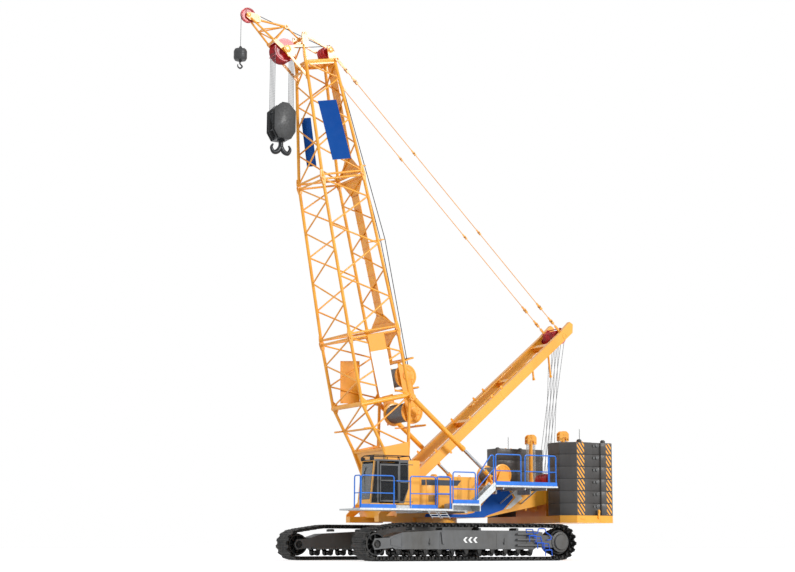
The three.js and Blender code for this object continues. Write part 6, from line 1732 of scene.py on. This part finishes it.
# hoist ropes down the boom's back to the drums
bm = bmesh.new()
drumTop = ((4.49, 1.32), (3.08, 1.32))
for (dx, dz), y, mid in zip(drumTop, (0.30, 0.42), ((9.98, 1.57), (9.98, 1.71))):
    points = [(17.71, y * 0.5, 1.035), (mid[0], y, mid[1]), (dx + 0.10, y, dz + 0.37)]
    addTubes(bm, points, 0.016, 8)
# on over the guide sheaves to the head sheave, and the tip
for y, goal in ((0.14, (18.0, 0.14, -0.64)), (0.02, (19.47, 0.0, -2.01))):
    addTube(bm, (17.995, y, 0.78), goal, 0.014, 8)
makePiece("hoist_ropes", bm, "blackWireRope", "boom")
# rope guide posts on the boom's back
bm = bmesh.new()
for x, z in ((9.98, 1.50), (13.0, 1.28)):
    for y in (0.18, 0.54):
        addTubeZ(bm, x, y, 0.93 if x > 12 else 0.97, z + 0.1, 0.022, 8)
    addTubeY(bm, x, 0.16, 0.56, z, 0.034, 14)
makePiece("rope_guide_posts", bm, "boomTubePaint", "boom")
print("ropes made")

# luffing winch and the sheaves behind it on the upper frame
luffShape = Settings(x=-3.3, z=3.4, half=0.65, flange=0.43, barrel=0.3, sheaveX=-5.85, sheaveZ=3.25,
    sheaveR=0.26, sheaveWidth=0.8)
luffDrum = Settings(flange=luffShape.flange, barrel=luffShape.barrel - 0.02, half=luffShape.half, rope=0.012,
    flangeThick=0.05)
ropeDrum(luffShape.x, luffShape.z, luffDrum, fromSlew, "luffing", "luffing_winch", "upperworks")
bm = bmesh.new()
addSheaves(bm, luffShape.sheaveX, luffShape.sheaveZ, luffShape.sheaveR, luffShape.sheaveWidth, 7, 0.062)
makePiece("rear_sheave_pack", bm, "sheaveRedPaint", replaces="rear_sheaves")
bm = bmesh.new()
addTubeY(bm, luffShape.sheaveX, -0.5, 0.5, luffShape.sheaveZ, 0.058, 20)
for side in (-1, 1):
    addTurned(bm, (luffShape.sheaveX, side * 0.47, luffShape.sheaveZ),
        [(0, 0), (0, 0.11), (side * 0.03, 0.10), (side * 0.03, 0)], 20)
makePiece("rear_sheave_axle", bm, "glossYellowPaint", replaces="rear_sheaves")
for i in range(8):
    y = mix(-0.40, 0.40, i / 7)
    # from the mast's sheaves down to the frame's, fanning a little as the sheaves' widths differ
    start = onArm(alongMast, mastShape.sheave[0] + (0.1 if i % 2 else -0.2), mastShape.sheave[1] + 0.24, y)
    end = Vector((luffShape.sheaveX + slewX + (0.22 if i % 2 else -0.22), y * 0.86,
        luffShape.sheaveZ + 0.06))
    bm = bmesh.new()
    addTube(bm, start, end, 0.010, 8)
    rope = makePiece(f"luffing_fall_{i}", bm, "greasedWireRope", None)
    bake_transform(rope)
bm = bmesh.new()
start = Vector((luffShape.x - 0.1, 0.1, luffShape.z + 0.33))
end = Vector((luffShape.sheaveX + 0.02, 0.06, luffShape.sheaveZ + 0.255))
addTube(bm, start, end, 0.011, 8)
makePiece("luffing_lead_rope", bm, "greasedWireRope")
print("luffing gear made")

# hooks
blockShape = Settings(half=0.38, length=0.45, drop=2.02)


def addHorn(bm, origin, side, knots, sizes, count, corners, squash):
    # a forged horn: rings of changing size along a smooth curve through the knots
    rings = []
    for i in range(count + 1):
        s = i / count * (len(knots) - 1)
        k = min(int(s), len(knots) - 2)
        t = s - k
        p = [Vector(knots[min(max(j, 0), len(knots) - 1)]) for j in (k - 1, k, k + 1, k + 2)]
        bend, swing = 2 * p[0] - 5 * p[1] + 4 * p[2] - p[3], 3 * p[1] - p[0] - 3 * p[2] + p[3]
        at = 0.5 * (2 * p[1] + (p[2] - p[0]) * t + bend * t * t + swing * t ** 3)
        slope = (p[2] - p[0] + 2 * bend * t + 3 * swing * t * t).normalized()
        size = mix(sizes[k], sizes[k + 1], t)
        rings.append([bm.verts.new((origin[0] + side * (at.x - slope.y * wide), deep * squash,
            origin[1] + at.y + slope.x * wide)) for wide, deep in around(corners, 0, 0, size)])
    for a, b in zip(rings, rings[1:]):
        for i in range(corners):
            bm.faces.new((a[i], a[(i + 1) % corners], b[(i + 1) % corners], b[i]))
    bm.faces.new(rings[0])
    bm.faces.new(rings[-1])
    bmesh.ops.recalc_face_normals(bm, faces=bm.faces[:])


def mainBlock():
    b = blockShape
    cheeks, middle, hook = bmesh.new(), bmesh.new(), bmesh.new()
    top = head.z - b.drop
    outline = [(-0.13, -0.12), (0.13, -0.12), (b.length, -0.42), (b.length, -1.25), (0.26, -1.56),
        (-0.26, -1.56), (-b.length, -1.25), (-b.length, -0.42)]
    place = lambda points: [(head.x + x, top + z) for x, z in points]
    for y in (-1, 1):
        addPlate(cheeks, place(outline), y * (b.half - 0.02) - 0.02, y * (b.half - 0.02) + 0.02)
        addPlate(cheeks, place(outline), y * 0.19 - 0.014, y * 0.19 + 0.014)
    # ballast cheeks bolted on, smaller than the side plates
    small = [(x * 0.9, -0.78 + (z + 0.78) * 0.9) for x, z in outline]
    for y in (-1, 1):
        low, high = sorted((y * (b.half - 0.10), y * (b.half - 0.04)))
        addPlate(cheeks, place(small), low, high)
    bevelAll(cheeks, 0.012, 2)
    for y in (-1, 1):
        out = y * b.half
        for x, z, r in ((-0.10, -0.30, 0.05), (0.10, -0.30, 0.05), (0.30, -1.05, 0.05), (-0.30, -1.05, 0.05),
                (0.34, -0.55, 0.035), (-0.34, -0.55, 0.035)):
            addTubeY(middle, head.x + x, out - y * 0.03, out - y * 0.001, top + z, r, 14)
        addTurned(middle, (head.x, out - y * 0.03, top - 0.62), [(0, 0), (0, 0.13), (y * 0.028, 0.125),
            (y * 0.029, 0.0)], 28)
    # frame bars between the plates and rope sheaves in them
    for x, z in ((0.38, -0.5), (-0.38, -0.5), (0.38, -1.2), (-0.38, -1.2), (0.0, -1.50)):
        addTubeY(middle, head.x + x, -b.half + 0.03, b.half - 0.03, top + z, 0.032, 12)
    addSheaves(middle, head.x, top - 0.62, 0.40, 0.58, 5, 0.06)
    bottom = top - 1.56
    addBox(middle, (head.x - 0.24, -b.half + 0.06, bottom), (head.x + 0.24, b.half - 0.06, bottom + 0.16))
    addTubeZ(middle, head.x, 0, bottom + 0.02, bottom - 0.06, 0.15, 24)
    # double hook: a shank and two tapered horns
    addTubeZ(hook, head.x, 0, bottom - 0.05, bottom - 0.26, 0.09, 20, 0.10)
    for side in (-1, 1):
        addHorn(hook, (head.x, bottom), side, [(0, -0.22), (0.12, -0.44), (0.30, -0.50), (0.40, -0.33),
            (0.33, -0.18)], [0.085, 0.10, 0.085, 0.062, 0.030], 24, 14, 0.78)
    makePiece("main_block_cheeks", cheeks, "hookGreyPaint", "main_hook", "main_hook_block")
    makePiece("main_block_sheaves", middle, "rubbedBlackSteel", "main_hook", "main_hook_block")
    makePiece("double_hook", hook, "rubbedBlackSteel", "main_hook", "main_hook_block")


def auxBall():
    body, hook = bmesh.new(), bmesh.new()
    x, top = tip.x + hoistShape.tipLine, tip.z - hoistShape.auxDrop
    addTurned(body, (x, 0, top), [(0, 0), (0, 0.03), (-0.03, 0.058), (-0.085, 0.066), (-0.12, 0.20),
        (-0.135, 0.225), (-0.20, 0.254), (-0.22, 0.258), (-0.30, 0.258), (-0.31, 0.25), (-0.33, 0.25),
        (-0.34, 0.258), (-0.46, 0.258), (-0.49, 0.255), (-0.56, 0.22), (-0.575, 0.06), (-0.635, 0.05),
        (-0.64, 0)], 40, "Z")
    for i in range(6):
        turn = math.tau * i / 6
        px, py = x + 0.19 * math.cos(turn), 0.19 * math.sin(turn)
        addTubeZ(body, px, py, top - 0.135, top - 0.105, 0.016, 6)
    addHorn(hook, (x, top), 1, [(0, -0.62), (0.01, -0.70), (-0.085, -0.80), (0, -0.885), (0.095, -0.83),
        (0.095, -0.73)], [0.03, 0.029, 0.031, 0.034, 0.026, 0.012], 30, 12, 0.85)
    makePiece("aux_weight", body, "hookGreyPaint", "aux_hook", "aux_hook")
    makePiece("single_hook", hook, "rubbedBlackSteel", "aux_hook", "aux_hook")


mainBlock()
auxBall()
print("hooks made")

# inside the cab: sprung seat with stuffed cushions, side consoles, levers and a screen
seatShape = Settings(x=2.92, y=2.60, deck=2.1053, pad=(0.25, 0.235, 0.065), padAt=(2.93, 2.60, 2.50),
    back=(0.06, 0.22, 0.28), backAt=(2.685, 2.60, 2.83), lean=-7, headRest=(0.045, 0.13, 0.075), voxel=0.009,
    pressure=4, cap=0.014)


def crownedPad(half, place, turn=0):
    # a soft block: its sides pull in between the corners and its faces are crowned
    bm = bmesh.new()
    bmesh.ops.create_cube(bm, size=2)
    bmesh.ops.subdivide_edges(bm, edges=bm.edges, cuts=7, use_grid_fill=True)
    thin = min(range(3), key=lambda i: half[i])
    for v in bm.verts:
        flat = [i for i in range(3) if i != thin]
        across = [1 - v.co[i] ** 2 for i in flat]
        rise = 0.72 + 0.28 * (across[0] * across[1]) ** 0.5
        for i, j in (flat, flat[::-1]):
            v.co[i] *= 1 - 0.035 * (1 - v.co[j] ** 2)
        v.co[thin] *= rise
    bmesh.ops.scale(bm, verts=bm.verts, vec=half)
    edges = [e for e in bm.edges if e.calc_face_angle(0) > 0.8]
    bmesh.ops.bevel(bm, geom=edges, offset=min(half) * 0.35, offset_type="OFFSET", affect="EDGES",
        segments=3, profile=0.5, material=-1, clamp_overlap=True)
    bmesh.ops.rotate(bm, verts=bm.verts, cent=(0, 0, 0), matrix=Matrix.Rotation(math.radians(turn), 3, "Y"))
    bmesh.ops.translate(bm, verts=bm.verts, vec=place)
    return bm


def stuff(piece):
    # inflate the pad as cloth round its filling, and keep the result
    s = seatShape
    remesh = piece.modifiers.new("remesh", "REMESH")
    remesh.mode = "VOXEL"
    remesh.voxel_size = s.voxel
    applyAll(piece)
    rest = [v.co.copy() for v in piece.data.vertices]
    cloth = piece.modifiers.new("cloth", "CLOTH")
    cloth.settings.quality = 4
    cloth.settings.mass = 0.3
    cloth.settings.tension_stiffness = 25
    cloth.settings.bending_stiffness = 2
    cloth.settings.use_pressure = True
    cloth.settings.uniform_pressure_force = s.pressure
    cloth.settings.effector_weights.gravity = 0
    cloth.collision_settings.use_collision = False
    for step in range(1, 21):
        bpy.context.scene.frame_set(step)
    applyAll(piece)
    for v, home in zip(piece.data.vertices, rest):
        away = v.co - home
        if away.length > s.cap:
            v.co = home + away.normalized() * s.cap
    bpy.context.scene.frame_set(1)


def applyAll(piece):
    shape = bpy.data.meshes.new_from_object(piece.evaluated_get(bpy.context.evaluated_depsgraph_get()))
    old = piece.data
    piece.modifiers.clear()
    piece.data = shape
    bpy.data.meshes.remove(old)


def sewChannels(piece, centre, half, channels):
    # the seams of the sewn panels press a groove into the stuffed top
    for v in piece.data.vertices:
        away = v.co - centre
        for axis, at in channels:
            near = abs(away[axis] - at * half[axis])
            if near < 0.014:
                v.co -= away.normalized() * 0.007 * (1 - near / 0.014)


def makeCushion(name, half, place, turn, channels):
    bm = crownedPad(half, place, turn)
    piece = makePiece(name, bm, "wovenSeatCloth", replaces="operator_seat", smooth=80)
    stuff(piece)
    sewChannels(piece, Vector(place) + Vector((slewX, 0, 0)), half, channels)
    for face in piece.data.polygons:
        face.use_smooth = True
    soft = piece.modifiers.new("soft", "SUBSURF")
    soft.levels = soft.render_levels = 1
    return piece


def makeSeat():
    s = seatShape
    x, y, deck = s.x, s.y, s.deck
    makeCushion("seat_cushion", s.pad, s.padAt, 3, [(1, -0.5), (1, 0.5), (0, 0.2)])
    makeCushion("seat_back_cushion", s.back, s.backAt, s.lean, [(1, -0.55), (1, 0.55), (2, 0.1)])
    makeCushion("seat_head_rest", s.headRest, (2.63, y, 3.20), s.lean, [(1, -0.6), (1, 0.6)])
    # bellows, pan and shell under the cushions
    bm = bmesh.new()
    folds = [(0.002, 0)]
    for i in range(6):
        z = 0.03 + 0.045 * i
        folds += [(z, 0.155), (z + 0.022, 0.125)]
    folds += [(0.30, 0.155), (0.31, 0)]
    addTurned(bm, (x, y, deck), folds, 28, "Z")
    addPlate(bm, roundedOutline([(x - 0.23, y - 0.20), (x + 0.22, y - 0.20), (x + 0.22, y + 0.20),
        (x - 0.23, y + 0.20)], 0.06), deck + 0.305, deck + 0.335, "Z")
    shell = roundedOutline([(2.585, 2.53), (2.645, 2.53), (2.60, 3.10), (2.545, 3.10)], 0.02)
    addPlate(bm, shell, y - 0.20, y + 0.20)
    for side in (-1, 1):
        addTube(bm, (2.615, y + side * 0.06, 3.05), (2.60, y + side * 0.06, 3.18), 0.008, 10)
        addPlate(bm, roundedOutline([(2.62, 2.50), (2.76, 2.46), (2.78, 2.52), (2.64, 2.62)], 0.02),
            y + side * 0.232, y + side * 0.248)
    makePiece("seat_mount", bm, "mouldedPlastic", replaces="operator_seat")


def makeConsoles():
    s = seatShape
    y, deck = s.y, s.deck
    pods, levers = bmesh.new(), bmesh.new()
    for side in (-1, 1):
        a, b = sorted((y + side * 0.292, y + side * 0.398))
        addPlate(pods, roundedOutline([(2.865, 2.54), (3.12, 2.54), (3.255, 2.66), (3.255, 2.71),
            (3.08, 2.735), (2.865, 2.70)], 0.025), a, b)
        addPlate(pods, roundedOutline([(2.88, deck), (3.0, deck), (3.0, 2.56), (2.90, 2.56)], 0.02),
            a + 0.012, b - 0.012)
        addBox(pods, (2.66, a + 0.02, deck + 0.001), (2.90, b - 0.02, deck + 0.10))
        middle = (a + b) / 2
        addTurned(levers, (3.17, middle, 2.70), [(0, 0), (0, 0.042), (0.02, 0.036), (0.034, 0.040),
            (0.05, 0.024), (0.066, 0.026), (0.08, 0.012), (0.19, 0.011)], 20, "Z")
        addTurned(levers, (3.17, middle, 2.88), [(0, 0), (0, 0.018), (0.03, 0.022), (0.07, 0.021),
            (0.10, 0.026), (0.125, 0.018), (0.13, 0)], 20, "Z")
        for i in range(5):
            addBox(levers, (2.90 + 0.035 * i, middle - 0.03, 2.705), (2.918 + 0.035 * i, middle - 0.008,
                2.722 + 0.004 * i))
            addTubeZ(levers, 2.91 + 0.035 * i, middle + 0.02, 2.705, 2.728, 0.009, 10)
    addBox(pods, (2.64, y - 0.4, deck + 0.001), (2.68, y + 0.4, deck + 0.12))
    # instrument screen on a stalk, foot pedals
    addTube(pods, (3.70, y + 0.33, deck + 0.001), (3.66, y + 0.33, 2.82), 0.018, 12)
    addPlate(pods, roundedOutline([(3.60, 2.80), (3.68, 2.78), (3.74, 3.02), (3.66, 3.05)], 0.012), y + 0.20,
        y + 0.44)
    for dy in (-0.14, 0.14):
        addPlate(levers, roundedOutline([(3.48, deck + 0.02), (3.72, deck + 0.14), (3.73, deck + 0.16),
            (3.47, deck + 0.04)], 0.008), y + dy - 0.05, y + dy + 0.05)
        addTubeZ(levers, 3.60, y + dy, deck + 0.001, deck + 0.09, 0.012, 10)
    bevelAll(pods, 0.004, 2)
    makePiece("side_consoles", pods, "mouldedPlastic", replaces="control_console")
    makePiece("console_levers", levers, "blackRubber", replaces="control_console", slotName="seat_black")


makeSeat()
makeConsoles()
print("cab inside made")

# plain pale floor, white to the camera, and soft studio light
def makeFloor():
    bm = bmesh.new()
    bmesh.ops.create_grid(bm, x_segments=1, y_segments=1, size=400)
    mesh = bpy.data.meshes.new("floor")
    bm.to_mesh(mesh)
    bm.free()
    floor = bpy.data.objects.new("floor", mesh)
    floor.location.z = -0.004
    bpy.context.scene.collection.objects.link(floor)
    material = bpy.data.materials.new("paleFloor")
    material.use_nodes = True
    tree = material.node_tree
    shader = tree.nodes["Principled BSDF"]
    shader.inputs["Base Color"].default_value = linear("#f6f6f6")
    shader.inputs["Roughness"].default_value = 0.9
    shader.inputs["Specular IOR Level"].default_value = 0.1
    mesh.materials.append(material)
    return tree, shader


def showWhite(tree, output, seen, kept):
    # what the camera, a mirror or glass sees is white; everything else gets the kept shader
    rays = addNode(tree, "ShaderNodeLightPath")
    straight = addNode(tree, "ShaderNodeMath", {"operation": "MAXIMUM"})
    tree.links.new(rays.outputs["Is Camera Ray"], straight.inputs[0])
    tree.links.new(rays.outputs["Is Transmission Ray"], straight.inputs[1])
    both = addNode(tree, "ShaderNodeMath", {"operation": "MAXIMUM"})
    tree.links.new(straight.outputs["Value"], both.inputs[0])
    tree.links.new(rays.outputs["Is Glossy Ray"], both.inputs[1])
    choice = addNode(tree, "ShaderNodeMixShader")
    tree.links.new(both.outputs["Value"], choice.inputs["Fac"])
    tree.links.new(kept, choice.inputs[1])
    tree.links.new(seen, choice.inputs[2])
    tree.links.new(choice.outputs["Shader"], output.inputs["Surface"])


def whiteWorld():
    world = bpy.data.worlds.new("studio")
    bpy.context.scene.world = world
    world.use_nodes = True
    tree = world.node_tree
    soft = tree.nodes["Background"]
    soft.inputs["Color"].default_value = linear("#eef1f5")
    soft.inputs["Strength"].default_value = 0.55
    white = addNode(tree, "ShaderNodeBackground", {"Color": (1, 1, 1, 1), "Strength": 1.0})
    showWhite(tree, tree.nodes["World Output"], white.outputs["Background"], soft.outputs["Background"])


def addSun(name, direction, strength, angle):
    lamp = bpy.data.lights.new(name, "SUN")
    lamp.energy = strength
    lamp.angle = math.radians(angle)
    sun = bpy.data.objects.new(name, lamp)
    sun.rotation_mode = "QUATERNION"
    sun.rotation_quaternion = Vector(direction).to_track_quat("-Z", "Y")
    bpy.context.scene.collection.objects.link(sun)


def brightFloor():
    # the floor looks white and still takes the soft shadow
    tree, shader = makeFloor()
    glow = addNode(tree, "ShaderNodeEmission", {"Color": (1, 1, 1, 1), "Strength": 0.42})
    lifted = addNode(tree, "ShaderNodeAddShader")
    tree.links.new(shader.outputs["BSDF"], lifted.inputs[0])
    tree.links.new(glow.outputs["Emission"], lifted.inputs[1])
    showWhite(tree, tree.nodes["Material Output"], lifted.outputs["Shader"], shader.outputs["BSDF"])


brightFloor()
whiteWorld()
addSun("keyLight", (0.35, -0.85, -0.32), 2.0, 12)
addSun("fillLight", (-0.6, -0.15, -0.7), 0.7, 30)

# camera: where the machine's own edges say it stood
cameraSet = Settings(place=(31.471, 53.613, 0.484), heading=30.861, pitch=9.554, focal=1555.69,
    centre=(436.39, 285.99), picture=(795, 572))


def placeCamera():
    c = cameraSet
    lens = bpy.data.cameras.new("camera")
    camera = bpy.data.objects.new("camera", lens)
    bpy.context.scene.collection.objects.link(camera)
    heading, pitch = math.radians(c.heading), math.radians(c.pitch)
    ahead = Vector((-math.sin(heading) * math.cos(pitch), -math.cos(heading) * math.cos(pitch),
        math.sin(pitch)))
    camera.location = Vector(c.place) + Vector((slewX, 0, 0))
    camera.rotation_mode = "QUATERNION"
    camera.rotation_quaternion = ahead.to_track_quat("-Z", "Y")
    wide, high = c.picture
    lens.sensor_width = 36
    lens.lens = c.focal * 36 / wide
    lens.shift_x = (wide / 2 - c.centre[0]) / wide
    lens.shift_y = (c.centre[1] - high / 2) / wide
    lens.clip_end = 500
    bpy.context.scene.camera = camera


placeCamera()
bpy.context.scene.view_settings.view_transform = "Standard"

print("scene complete")
